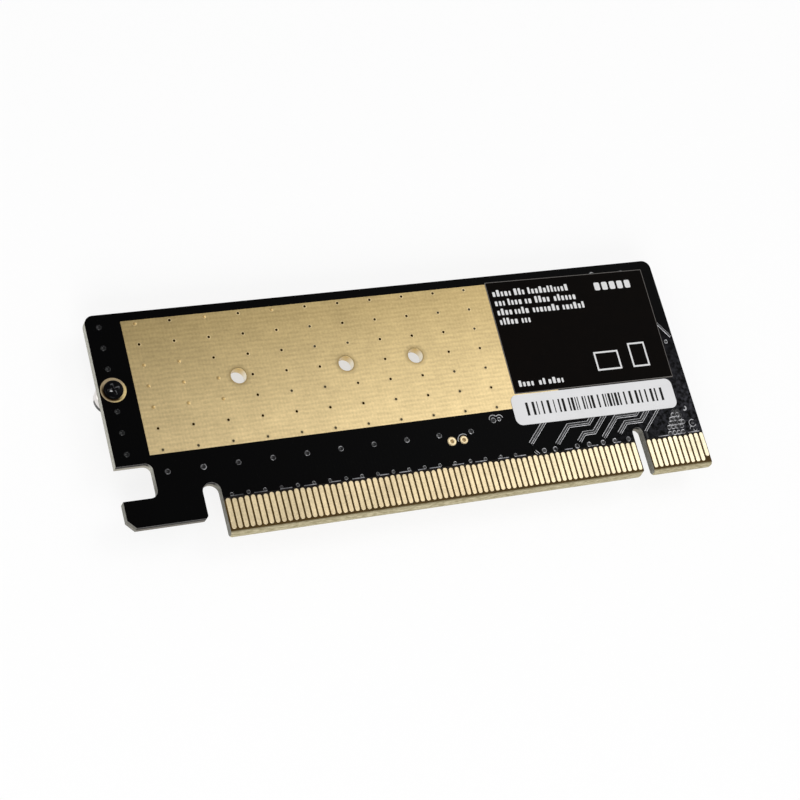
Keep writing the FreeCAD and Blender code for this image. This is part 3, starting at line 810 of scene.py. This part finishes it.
# Painted light on the wall: pale cream, going over to tan where it faces the insertion edge.
wall = mixed(t, ramp(t, wall_v, -0.2, -0.9), (0.98, 0.91, 0.74), (0.72, 0.52, 0.22))
paint(t, s, mixed(t, is_lip, wall, (0.44, 0.335, 0.16)))
t.links.new(ramp(t, is_lip, 0, 1, 0.16, 0.4), s.inputs["Roughness"])
piece("length_barrels", copies(turned(barrel_profile, 64, cap=None), places(hole_u, axis_v)),
      FACE, wall_gold, "hole_plating", ("length_hole_barrels",), smooth=50)

halo = turned([(LIP + 0.14, 0.0), (LIP + 0.10, 0.002), (LIP, 0.003)], 48, cap=None)
piece("length_hole_halos", copies(halo, places(hole_u, axis_v)), COPPER_TOP,
      gold("halo_gold", (0.42, 0.31, 0.145), 0.40), "thermal_gold")

# %% [markdown]
# ## Ring about the screw
# A gold eyelet on which the screw's head rests. Its shape is kept, with softened edges. It has
# painted shade in brown next to the head on the lower left, where the head shades it, and a
# painted highlight on the lower right. That shade could be left to the lamps, but the head
# stands too low to cast it.

# %% Ring about the screw
HEAD, HEAD_HEIGHT, SHANK = 1.525, 0.45, 0.95
ring_gold, t, s, place = new_finish("ring_gold", (0.62, 0.45, 0.22), 0.3, metallic=1.0)
away = from_screw(t, place)
away_x, away_y, _ = axes(t, away)
lower_left = total(t, away_x, product(t, away_y, 1.2))
lower_right = maths(t, "SUBTRACT", away_x, product(t, away_y, 0.8))
shaded = product(t, ramp(t, vectors(t, "LENGTH", away), (HEAD + 0.18) * MM,
                         (HEAD + 0.40) * MM, 1, 0),
                 ramp(t, lower_left, 0.2 * MM, -1.5 * MM))
lit_gold = mixed(t, ramp(t, lower_right, 0.4 * MM, 2.0 * MM), (0.46, 0.36, 0.22),
                 (0.80, 0.62, 0.29))
paint(t, s, mixed(t, shaded, lit_gold, (0.05, 0.028, 0.01)))
softened("screw_hole_eyelet", "screw_ring_soft", 0.02, ring_gold)

# %% [markdown]
# ## Pin eyelets
# Two small plated holes for a pair of pins that isn't fitted. Each has a bore, a thin wall in
# the laminate and a pad on both faces, and the right one has the smaller pad. One closed
# profile, turned, gives all of that without joining parts.

# %% Pin eyelets
PIN_PITCH, PIN_BORE, PIN_WALL = 2.1, 0.28, 0.05
LEFT_PAD, RIGHT_PAD = 0.775, 0.69
BOARD_BOTTOM = (BACK_FACE - FACE) / MM
pin_u, pin_v = middle_of("pin_pair_eyelets")
left_pin, right_pin = pin_u - PIN_PITCH / 2, pin_u + PIN_PITCH / 2


def pin_eyelet(pad):
    """Profile of a plated hole with a pad on both faces, closed on itself: under one pad,
    along the laminate, over the other pad, and down the bore."""
    wall = PIN_BORE + PIN_WALL
    return turned([(PIN_BORE, bottom + 0.02), (PIN_BORE + 0.03, bottom), (pad - 0.04, bottom),
                   (pad, bottom + 0.03), (pad, BOARD_BOTTOM), (wall, BOARD_BOTTOM),
                   (wall, 0.0), (pad, 0.0), (pad, top - 0.03), (pad - 0.04, top),
                   (PIN_BORE + 0.03, top), (PIN_BORE, top - 0.02), (PIN_BORE, bottom + 0.02)],
                  32, cap=None)


piece("pin_eyelets", joined([copies(pin_eyelet(LEFT_PAD), places(left_pin, pin_v)),
                             copies(pin_eyelet(RIGHT_PAD), places(right_pin, pin_v))]),
      FACE, pad_gold, "hole_plating", ("pin_pair_eyelets",), smooth=40)

# %% [markdown]
# ## Screw
# A low pan head with a cross for the driver. Cutting a cross out of a disc with a boolean gives
# hard edges that are tedious to round. Here the head is one surface over a round grid: its
# height depends on the distance from the axis, low at the rim and almost flat in the middle,
# less the depth of a cross whose arms have sloping sides.

# %% Screw
ARM, ARM_LENGTH, ARM_DEPTH, ARM_SLOPE, ARM_END = 0.19, 1.02, 0.30, 0.10, 0.22
CROSS_TURN = math.radians(12)
SHANK_LENGTH, SHANK_TIP = 2.79, 0.2


def smooth_step(value, low, high):
    """0 below low, 1 above high, with an even start and end between them."""
    k = np.clip((value - low) / (high - low), 0, 1)
    return k * k * (3 - 2 * k)


def screw_head(rings=40, segments=96):
    """Head over a polar grid: a domed disc less the cross, then down the rim. A small flat
    face closes the middle."""
    r, a = np.meshgrid(np.linspace(0.02, HEAD, rings)[::-1], np.arange(segments) * 2 * math.pi
                       / segments, indexing="ij")
    x, y = r * np.cos(a), r * np.sin(a)
    p = x * math.cos(CROSS_TURN) + y * math.sin(CROSS_TURN)
    q = y * math.cos(CROSS_TURN) - x * math.sin(CROSS_TURN)
    dome = HEAD_HEIGHT - 0.10 * (r / HEAD) ** 2 - 0.14 * smooth_step(r, 0.78 * HEAD, HEAD)
    length, beside = np.maximum(abs(p), abs(q)), np.minimum(abs(p), abs(q))
    arm = (1 - smooth_step(beside, ARM - ARM_SLOPE / 2, ARM + ARM_SLOPE / 2)) * (
        1 - smooth_step(length, ARM_LENGTH - ARM_END, ARM_LENGTH))
    head = np.stack([x, y, dome - ARM_DEPTH * arm], -1).reshape(-1, 3)
    skirt = np.stack([x[0], y[0], 0 * x[0]], -1)
    return (np.concatenate([skirt, head]),
            ring_quads(rings + 1, segments) + last_ring(rings + 1, segments))


shank = turned([(SHANK - SHANK_TIP, -SHANK_LENGTH), (SHANK, -2.6), (SHANK, 0.0)], 32,
               cap="first")
piece("screw", copies(joined([screw_head(), shank]), places(standoff_u, axis_v)), COPPER_TOP,
      black_screw, "black_screw", ("standoff_screw",), smooth=40)

# %% [markdown]
# ## Traces: their finish
# Copper lines under the mask. Their sloping sides carry a painted highlight, so a line is seen
# by its slopes and its top stays black. Slopes that face up or down the card get the painted
# highlight, and beside a stretch that runs straight up they stay dark. One colour would show
# all slopes alike, so the finish asks for the direction.

# %% Finish of the traces
trace_finish, t, s, place = new_finish("trace_finish", (0.3, 0.3, 0.32), 0.4, specular=0.3)
_, y_part, up_part = facing(t)
level_top = maths(t, "GREATER_THAN", maths(t, "ABSOLUTE", up_part), 0.965)
# Painted highlight on the slopes, in patches, and dark beside stretches that run straight up.
slope_highlight = mixed(t, clouds(t, place, 1.2), (0.55, 0.55, 0.57), (0.97, 0.97, 0.99))
slope_highlight = mixed(t, ramp(t, maths(t, "ABSOLUTE", y_part), 0.06, 0.2), (0.012, 0.012, 0.013),
               slope_highlight)
paint(t, s, mixed(t, level_top, slope_highlight, (0.0015, 0.0015, 0.002)))
print("trace finish has", len(t.nodes), "nodes")

# %% [markdown]
# ## Traces: sections and routes
# A trace has a low section with sloping sides. The two traces of a close pair have a gap that
# the lacquer nearly fills, and three fine light lines are seen: two outer slopes and the gap.
# Two ribbons side by side would blur there into one broad line, so a close pair is one ribbon
# with a groove. All routes bend by 45 degrees, as traces that carry fast signals do.

# %% Sections and routes
TRACE, RELIEF, SLOPE = 0.3, 0.035, 0.07
PAIR_HALF, GAP_AT, GAP = 0.385, 0.05, 0.026
pair_section = [(-PAIR_HALF, 0), (SLOPE - PAIR_HALF, RELIEF), (-GAP_AT - GAP, RELIEF),
                (-GAP_AT, 0.2 * RELIEF), (GAP - GAP_AT, RELIEF), (PAIR_HALF - SLOPE, RELIEF),
                (PAIR_HALF, 0)]


def finger_u(number):
    """Middle of a finger by its number, counted from the end of the short bank."""
    return centres[::-1][number - 1]


def lane(first, start, level, second, end):
    """Middle line of a close pair: at 45 degrees, along at the level, and away again. first
    and second are u less v on the two sloping stretches; level is None without a bend."""
    if level is None:
        return [(first + start, start), (first + end, end)]
    return [(first + start, start), (first + level, level), (second + level, level),
            (second + end, end)]


def trace_shapes(routes, width):
    """Ribbons whose section is a low trapezium, as high as the relief."""
    half = width / 2
    section = [(-half, 0), (SLOPE - half, RELIEF), (half - SLOPE, RELIEF), (half, 0)]
    return [ribbon(route, section) for route in routes]


print("a close pair is", 2 * PAIR_HALF, "mm wide")

# %% [markdown]
# ## Traces of the solder side
# Four pairs and the clock's pair leave the fingers, turn away at 45 degrees and run under the
# white label. A single trace leaves on its own, and one more slants away beside the label. The
# short black starts join each pair to its fingers. The routes are few and short, so they are
# named by finger and level instead of being drawn as curves by hand.

# %% Traces of the solder side
MASK_V = finger_top + 0.2          # where the mask begins above the fingers
solder_end = back_to(0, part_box("solder_side_traces")[1].y)[1]
lanes = {30: (44.55, 7.85, None, None), 26: (49.81, 7.2, 10.08, 53.55),
         22: (53.9, 7.1, 8.4, 55.8), 17: (58.38, 7.2, 10.55, 62.05),
         14: (61.05, 7.6, 9.3, 64.0)}
pairs = [ribbon(lane(*where, solder_end), pair_section) for where in lanes.values()]
starts = []
for number, (first, start, _, _) in lanes.items():
    for side in (0, 1):
        u = finger_u(number) + side * PITCH
        starts.append([(u, MASK_V), (u, start - 0.6),
                       (first + start + (side - 0.5) * 0.4, start - 0.05)])
single_u, bend = finger_u(11), MASK_V + 1.3
single = [(single_u, MASK_V), (single_u, bend), (single_u + solder_end - bend, solder_end)]
by_label = [(81.75, 26.15), (83.6, 23.4)]
piece("solder_traces", joined(pairs + trace_shapes([by_label, single], 0.4)), MASK_TOP,
      trace_finish, "masked_traces", ("solder_side_traces",))
piece("trace_starts", joined(trace_shapes(starts, 0.25)), MASK_TOP, solder_mask,
      "masked_traces")

# %% [markdown]
# ## Traces of the component side
# Here the two traces of a pair stand further apart, so each is a ribbon of its own. One could
# be a moved copy of the other, but then the gap would change at each bend. To keep it, the
# second one turns earlier by the spacing times the tangent of half the angle of 45 degrees.

# %% Traces of the component side
SPACING, TAN = 0.75, math.tan(math.radians(22.5))
back_end = back_to(0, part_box("component_side_traces")[1].y)[1]


def pair_route(number, rise, level, turn_u):
    """Both traces of a pair: up from two fingers, away at 45 degrees, along, away again."""
    left, routes = finger_u(number), []
    for side in (0, 1):
        u = left + side * SPACING
        drop = side * SPACING * TAN
        bend = finger_top + 1.3 + rise - drop
        start = [(u, MASK_V), (u, bend)]
        if side:
            low = MASK_V + TRACE
            start[:1] = [(left + PITCH, MASK_V), (left + PITCH, low), (u, low + PITCH - SPACING)]
        if level is None:
            routes.append(start + [(u + back_end - bend, back_end)])
            continue
        run = level - side * SPACING * math.sin(math.radians(45))
        turn = turn_u + drop
        routes.append(start + [(u + run - bend, run), (turn, run),
                               (turn + back_end - run, back_end)])
    return routes


back_pairs = [(28, 0.1, 11.6, 61.4), (24, 0.1, 10.0, 62.6), (20, 0.1, 8.4, 63.8),
              (15, 0.1, None, None)]
routes = [route for pair in back_pairs for route in pair_route(*pair)]
piece("component_traces", joined(trace_shapes(routes, TRACE)), BACK_MASK, trace_finish,
      "masked_traces", ("component_side_traces",), flip=True)

# %% [markdown]
# ## Vias under the mask: their finish
# Black lacquer over a low ridge shows only where a slope turns towards the light. The shine of
# the lacquer would do that for one lamp, but not as sharply as on the real card, so the slopes
# on one side are painted light. They fade towards the hook and vary from via to via.

# %% Finish of the covered vias
ring_finish, t, s, place = new_finish("ring_finish", (0.1, 0.1, 0.1), 0.2, specular=0.3)
x_part, y_part, up_part = facing(t)
toward = maths(t, "SUBTRACT", product(t, x_part, 0.5), y_part)
lit = product(t, ramp(t, toward, 0.05, 0.4, 0.2, 1.0),
              ramp(t, maths(t, "ABSOLUTE", up_part), 0.97, 0.85),
              along(t, place, 0, -11, 56, 0.15, 1.0), along(t, place, 0, -11, -9, 0.0, 1.0),
              ramp(t, noise(t, place, 0.8), 0.40, 0.56, 0.12, 1.0))
paint(t, s, mixed(t, lit, (0.0025, 0.0025, 0.003), (0.75, 0.75, 0.77)))
print("ring finish has", len(t.nodes), "nodes")

# %% [markdown]
# ## Vias under the mask
# A ground via that the mask covers is a low ring with a dimple. One row runs between the gold
# area and the fingers, one stands by the hook, and a row of smaller ones stands right above the
# fingers. More of them stand between the traces and in the lower right corner, where some are
# nearly drowned in lacquer. A bump pattern could draw them, but a real ridge is seen from low
# angles too, so each is a turned shape.


# %% Vias under the mask
def covered_via(radius, height):
    """A low round ridge about a dimple."""
    return turned([(radius, 0.0), (0.91 * radius, 0.75 * height), (0.84 * radius, height),
                   (0.76 * radius, 0.75 * height), (0.66 * radius, 0.08 * height)], 24)


ground_row = places(via_u[:10, 0], via_v[0, 0] - VIA_STEP_V)
above_fingers = places(1.3 + 2.66 * np.arange(19), 6.4)
by_traces = places([54.4, 56.4, 60.4, 62.6, 65.2, 67.4, 69.9], 6.45)
corner = places([72.5, 78.1], [36.25, 36.0])
by_labels = places([82.45, 48.1], [22.65, 12.75])
cluster = np.concatenate([places(start + step * np.arange(count), v)
                          for start, step, count, v in (
                              (77.9, 0.82, 4, 6.42), (78.0, 0.80, 4, 7.45),
                              (78.5, 0.80, 4, 8.15), (78.9, 0.80, 3, 8.85),
                              (79.4, 0.80, 2, 9.55))])
drowned = places([79.8, 80.4, 80.6], [10.2, 10.1, 9.4])
hook_row = places(via_u[0, 0] - VIA_STEP_U, via_v[0, [0, 1, 2, 4, 5, 6]])
ring_rows = [(0.46, 0.07, ground_row), (0.32, 0.07, above_fingers), (0.44, 0.09, by_traces),
             (0.55, 0.07, corner), (0.36, 0.07, by_labels), (0.42, 0.07, cluster),
             (0.40, 0.03, drowned), (0.22, 0.05, places(82.55, 7.7)),
             (0.45, 0.07, hook_row), (0.5, 0.07, places(47.05, 12.68))]
piece("covered_vias", joined([copies(covered_via(radius, height), spots)
                              for radius, height, spots in ring_rows]),
      MASK_TOP, ring_finish, "solder_mask", smooth=50)

# %% [markdown]
# ## Fine ridges in the mask
# The edge of an opening in the mask, or of a pad under it, shows as a thin light arc on one
# side, a ridge painted light grey as a highlight. Rings cut by hand would do. A ribbon along
# part of a circle needs only a middle, a radius and two angles, and two straight ones stand
# where traces start.

# %% Fine ridges
# Painted highlight: the ridges are light grey.
arc_highlight = speckled("arc_highlight", (0.42, 0.42, 0.43), 0.4, 0.6, 0.45, specular=0.3)


def ridge(path, width):
    """Thin line with a roof-shaped section."""
    return ribbon(path, [(-width / 2, 0), (0, 0.05), (width / 2, 0)])


def arc(middle, radius, start, end, width=0.14):
    """Ridge along part of a circle; start and end are angles in degrees."""
    angle = np.radians(np.linspace(start, end, 14))
    return ridge(np.stack([middle[0] + radius * np.cos(angle),
                           middle[1] + radius * np.sin(angle)], -1), width)


arcs = [arc(ground_row[1], 0.40, -90, 60, 0.2), arc((right_pin, pin_v), 1.0, 45, 190, 0.12),
        arc((47.1, 12.9), 0.66, 35, 190), arc((48.2, 12.85), 0.62, 5, 140),
        arc((82.57, 7.67), 0.62, 50, 330), arc((81.9, 10.45), 0.36, -130, 60, 0.24),
        arc((82.2, 6.75), 0.34, 20, 200, 0.12), arc((82.75, 6.55), 0.3, 170, 360, 0.12),
        ridge([(52.95, 6.65), (53.5, 6.0)], 0.12), ridge([(52.6, 6.45), (53.1, 5.9)], 0.12)]
piece("mask_arcs", joined(arcs), MASK_TOP, arc_highlight, "masked_traces")

# %% [markdown]
# ## Straps above the fingers
# Short copper straps join ground fingers to their vias, and the lacquer over them carries a
# painted highlight that fades towards the left end. Ribbons would have open ends, so they are
# low plates. They stand at no even pitch, and so each one has its start and its end.

# %% Straps
STRAP_V, STRAP_WIDTH = 6.05, 0.15
straps = [(1.0, 3.1), (4.8, 7.0), (9.0, 11.0), (12.9, 15.0), (17.0, 19.0), (20.9, 23.0),
          (25.5, 27.1), (28.8, 31.0), (32.0, 33.3), (34.0, 36.0), (38.0, 40.0), (42.0, 44.0),
          (46.0, 48.0), (49.0, 51.0), (58.0, 59.5), (62.9, 64.2), (67.0, 68.5), (75.5, 77.6),
          (78.4, 80.4), (81.2, 83.4)]
strap_shapes = [copies(plate(end - start, STRAP_WIDTH, 0.09, [(0.0, 0.0), (0.05, 0.03)], 2),
                       places((start + end) / 2, STRAP_V + STRAP_WIDTH / 2))
                for start, end in straps]
strap_finish, t, s, place = new_finish("strap_finish", (0.2, 0.2, 0.22), 0.4, specular=0.3)
# Painted highlight: light grey in patches, fading towards the left end.
strap_highlight = product(t, ramp(t, noise(t, place, 0.7), 0.35, 0.6, 0.3, 1.0),
               along(t, place, 0, 0, 40, 0.2, 1.0))
paint(t, s, mixed(t, strap_highlight, (0.005, 0.005, 0.006), (0.42, 0.42, 0.45)))
piece("ground_straps", joined(strap_shapes), MASK_TOP, strap_finish, "masked_traces")

# %% [markdown]
# ## Label films
# A black label lies on the gold area and the mask, and a narrow white one with round corners
# overlaps its lower edge. Both are turned a little, as stickers put on by hand are. The films
# are plates whose last ring is set in, which gives the black one a visible cut edge and the
# white one a soft one. Boxes would do, but their edges would be invisible.

# %% Label films
LABEL_TURN = math.radians(-0.8)
BLACK_SIZE, WHITE_SIZE, WHITE_CORNER = (29.6, 20.1), (29.9, 5.3), 1.2
FILM = 0.08


def turned_on(shapes, middle):
    """Turns the print with its label and moves it there."""
    points, faces = joined(shapes)
    c, s = math.cos(LABEL_TURN), math.sin(LABEL_TURN)
    u = middle[0] + c * points[:, 0] - s * points[:, 1]
    v = middle[1] + s * points[:, 0] + c * points[:, 1]
    return np.stack([u, v, points[:, 2]], -1), faces


black_low, black_top = (corner.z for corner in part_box("black_label"))
white_low, white_top = (corner.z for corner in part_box("white_label"))
black_middle, white_middle = middle_of("black_label"), middle_of("white_label") + (0.25, -0.12)
cut_edge = [(0.0, 0.0), (0.0, 0.4 * FILM), (0.13, FILM)]
soft_edge = [(0.0, 0.0), (0.0, 0.6 * FILM), (0.02, 0.9 * FILM), (0.06, FILM)]
piece("black_label_film", turned_on([plate(*BLACK_SIZE, 0.15, cut_edge)], black_middle),
      black_low, black_label, "black_label", ("black_label",))
piece("white_label_film", turned_on([plate(*WHITE_SIZE, WHITE_CORNER, soft_edge, 8)],
                                    white_middle),
      white_low, white_label, "white_label", ("white_label",))

# %% [markdown]
# ## Print on the black label
# Generic print: rows of small blocks in word-like groups, five bold blocks and two empty
# rectangles. Text objects would need real words, and this part carries none. Widths are random,
# with a fixed seed, so that every run prints the same.

# %% Print on the black label
INK = [(0.0, 0.0), (0.02, 0.008)]
random = np.random.default_rng(7)


def blocks(start, spans, height):
    """Small upright blocks from the start (du, dv), grouped into words of the spans."""
    shapes, du = [], start[0]
    for span in spans:
        end = du + span
        while du < end - 0.3:
            width = random.uniform(0.34, 0.56)
            tall = height * random.choice([0.72, 0.72, 0.72, 1.0])
            shapes.append(copies(plate(width, tall, 0.12, INK, 2),
                                 places(du + width / 2, start[1] + tall / 2)))
            du += width + 0.27
        du = end + 0.55
    return shapes


def frame_line(middle, width, height, line):
    """Empty rectangle: two thin plates across, and two upright ones that reach just into
    them."""
    side = np.array([1, -1])
    return [copies(plate(width, line, 0.05, INK, 1),
                   places(middle[0], middle[1] + side * (height - line) / 2)),
            copies(plate(line, height - 2 * line + 0.08, 0.05, INK, 1),
                   places(middle[0] + side * (width - line) / 2, middle[1]))]


lines = (blocks((-13.9, 7.35), (3.4, 2.0, 8.0), 1.2)
         + blocks((-13.9, 5.65), (1.8, 2.6, 1.3, 3.0, 4.6), 1.2)
         + blocks((-13.9, 3.95), (2.6, 2.8, 5.0, 4.2), 1.2)
         + blocks((-13.9, 2.25), (3.4, 1.9), 1.2)
         + blocks((-13.6, -8.9), (3.1, 1.2, 2.8), 1.1))
bold_row = [copies(plate(1.05, 1.45, 0.25, INK, 3), places(5.6 + 1.45 * np.arange(5), 7.6))]
frames = frame_line((3.6, -5.9), 4.6, 3.4, 0.3) + frame_line((9.6, -5.4), 3.2, 4.4, 0.3)
piece("black_label_print", turned_on(lines + bold_row + frames, black_middle), black_top,
      print_white, "black_label")

# %% [markdown]
# ## Print on the white label
# Plain upright bars of three widths with three gaps. A picture of bars would blur when seen
# from near, and thin plates stay sharp.

# %% Print on the white label
BAR_HEIGHT, FIRST_BAR, LAST_BAR = 2.3, -12.6, 12.6
bars, du = [], FIRST_BAR
while du < LAST_BAR:
    width = random.choice([0.18, 0.30, 0.45])
    bars.append(copies(plate(width, BAR_HEIGHT, 0.02, [(0.0, 0.0), (0.01, 0.006)], 1),
                       places(du + width / 2, 0)))
    du += width + random.choice([0.25, 0.4, 0.7])
piece("white_label_print", turned_on(bars, white_middle), white_top, print_black,
      "white_label")

# %% [markdown]
# ## Floor: its shape
# A pale floor carries a soft shadow and curves up to a low wall far behind the card. A plain
# plane would show its edge, so a profile with a quarter circle is turned round the card.

# %% Shape of the floor
FLAT, CURVE, WALL = 1.6, 0.4, 0.5  # radius of the flat part, of the curve, height of the wall
card_middle = Vector(((board_low.x + board_high.x) / 2, (board_low.y + board_high.y) / 2,
                      FACE))
bend_angle = np.linspace(0, math.pi / 2, 13)
sweep = np.concatenate([[(FLAT + CURVE, CURVE + WALL)],
                        np.stack([FLAT + CURVE * np.sin(bend_angle),
                                  CURVE - CURVE * np.cos(bend_angle)], -1)[::-1],
                        [(0.5, 0.0)]])
points, faces = turned(sweep, 96)
plane = bpy.data.meshes.new("floor")
plane.from_pydata(points.tolist(), [], faces)
plane.shade_smooth()
floor = add_object("floor", plane)
print("floor reaches", FLAT + CURVE, "m from the middle")

# %% [markdown]
# ## Floor: its finish
# The floor is white paper. More lamps would whiten it, but they would wash out the card too. So
# it is lifted to white only where it is seen, straight or in a mirror, and less so in a patch
# under the card, a painted shadow where the card's own shadow lies.

# %% Finish of the floor
FLOOR_GLOW = 0.8                   # how far the floor is lifted to white where it is seen
FLOOR_GLOW_UNDER = 0.6             # the same under the card, where its shadow lies
floor_finish, t, s, place = new_finish("floor", (0.88, 0.88, 0.88), 0.9, specular=0.1)
grey = clouds(t, place, 60.0, 0.88, 0.005)
paint(t, s, node(t, "ShaderNodeCombineColor", {0: grey, 1: grey, 2: grey}))
holes_middle = (card_middle.x, at(0, axis_v)[1], 0)
off_x, off_y, _ = axes(t, vectors(t, "SUBTRACT", place, holes_middle))
# Painted shadow: the floor is lifted less in a patch under the card, so it is darker there.
under = product(t, ramp(t, maths(t, "ABSOLUTE", off_x), 30 * MM, 34 * MM, 1, 0),
                ramp(t, maths(t, "ABSOLUTE", off_y), 6 * MM, 9 * MM, 1, 0))
rays = t.nodes.new("ShaderNodeLightPath").outputs
seen = maths(t, "ADD", maths(t, "ADD", rays["Is Camera Ray"], rays["Is Glossy Ray"]),
             rays["Is Transmission Ray"], clamp=True)
lifted = product(t, seen, ramp(t, under, 0, 1, FLOOR_GLOW, FLOOR_GLOW_UNDER))
glow = node(t, "ShaderNodeEmission", {"Color": (1, 1, 1, 1), "Strength": 1.04})
t.links.new(node(t, "ShaderNodeMixShader", {0: lifted, 1: s.outputs[0], 2: glow}),
            t.nodes["Material Output"].inputs["Surface"])
plane.materials.append(floor_finish)
print("floor finish has", len(t.nodes), "nodes")

# %% [markdown]
# ## Lamps and world
# Gold shows what stands around it. One wide lamp stands to the right of the card, so that the
# gold brightens towards the insertion edge's right end, a second one in front lights the sides,
# and a weak one lights the left sides. A bright sky alone would light the card evenly and make
# the gold flat, so the world is kept at less than half.


# %% Lamps and world
def lamp(name, direction, distance, size, radiance):
    """A square lamp that faces the card; the power gives its surface the radiance: the
    radiance times pi times the lamp's area."""
    data = bpy.data.lights.new(name, "AREA")
    data.size = size
    data.energy = radiance * math.pi * size ** 2
    toward = Vector(direction).normalized()
    made = add_object(name, data)
    made.location = card_middle + toward * distance
    made.rotation_euler = toward.to_track_quat("Z", "Y").to_euler()
    print(name, "has", round(data.energy, 2), "W")


lamp("right_lamp", (0.57, 0.245, 0.82), 0.45, 0.25, 2.0)
lamp("front_lamp", (-0.25, -0.8, 0.55), 0.6, 0.35, 4.8)
lamp("left_lamp", (-0.85, 0.15, 0.5), 0.6, 0.30, 1.5)

world = bpy.data.worlds.new("studio")
bpy.context.scene.world = world
world.use_nodes = True
sky = world.node_tree.nodes["Background"].inputs
sky["Color"].default_value, sky["Strength"].default_value = (1, 1, 1, 1), 0.45

# %% [markdown]
# ## Camera
# The camera looks down on the card from the front left and is rolled, so that the insertion
# edge climbs a little to the right. A long lens keeps the perspective mild. The place could be
# written as a matrix, but angles, a distance and an aim say it more plainly.

# %% Camera
AZIMUTH, ELEVATION, ROLL = (math.radians(angle) for angle in (219.480, 60.085, 39.407))
CAMERA_DISTANCE, AIM = 317.74, (-2.118, -0.847)  # mm, the aim from the middle of the card
camera_data = bpy.data.cameras.new("camera")
camera_data.lens, camera_data.sensor_width = 90.1, 36.0
camera_data.clip_start, camera_data.clip_end = 0.01, 20.0
camera = add_object("camera", camera_data)
back = Vector((math.cos(ELEVATION) * math.cos(AZIMUTH),
               math.cos(ELEVATION) * math.sin(AZIMUTH), math.sin(ELEVATION)))
level = Vector((-math.sin(AZIMUTH), math.cos(AZIMUTH), 0))
right = math.cos(ROLL) * level + math.sin(ROLL) * back.cross(level)
turn = Matrix((right, back.cross(right), back)).transposed().to_4x4()
aim = card_middle + Vector((*AIM, 0)) * MM
camera.matrix_world = Matrix.Translation(aim + back * CAMERA_DISTANCE * MM) @ turn

scene = bpy.context.scene
scene.camera = camera
scene.view_settings.view_transform = "Standard"
print("camera at", [round(c / MM, 1) for c in camera.location], "mm")
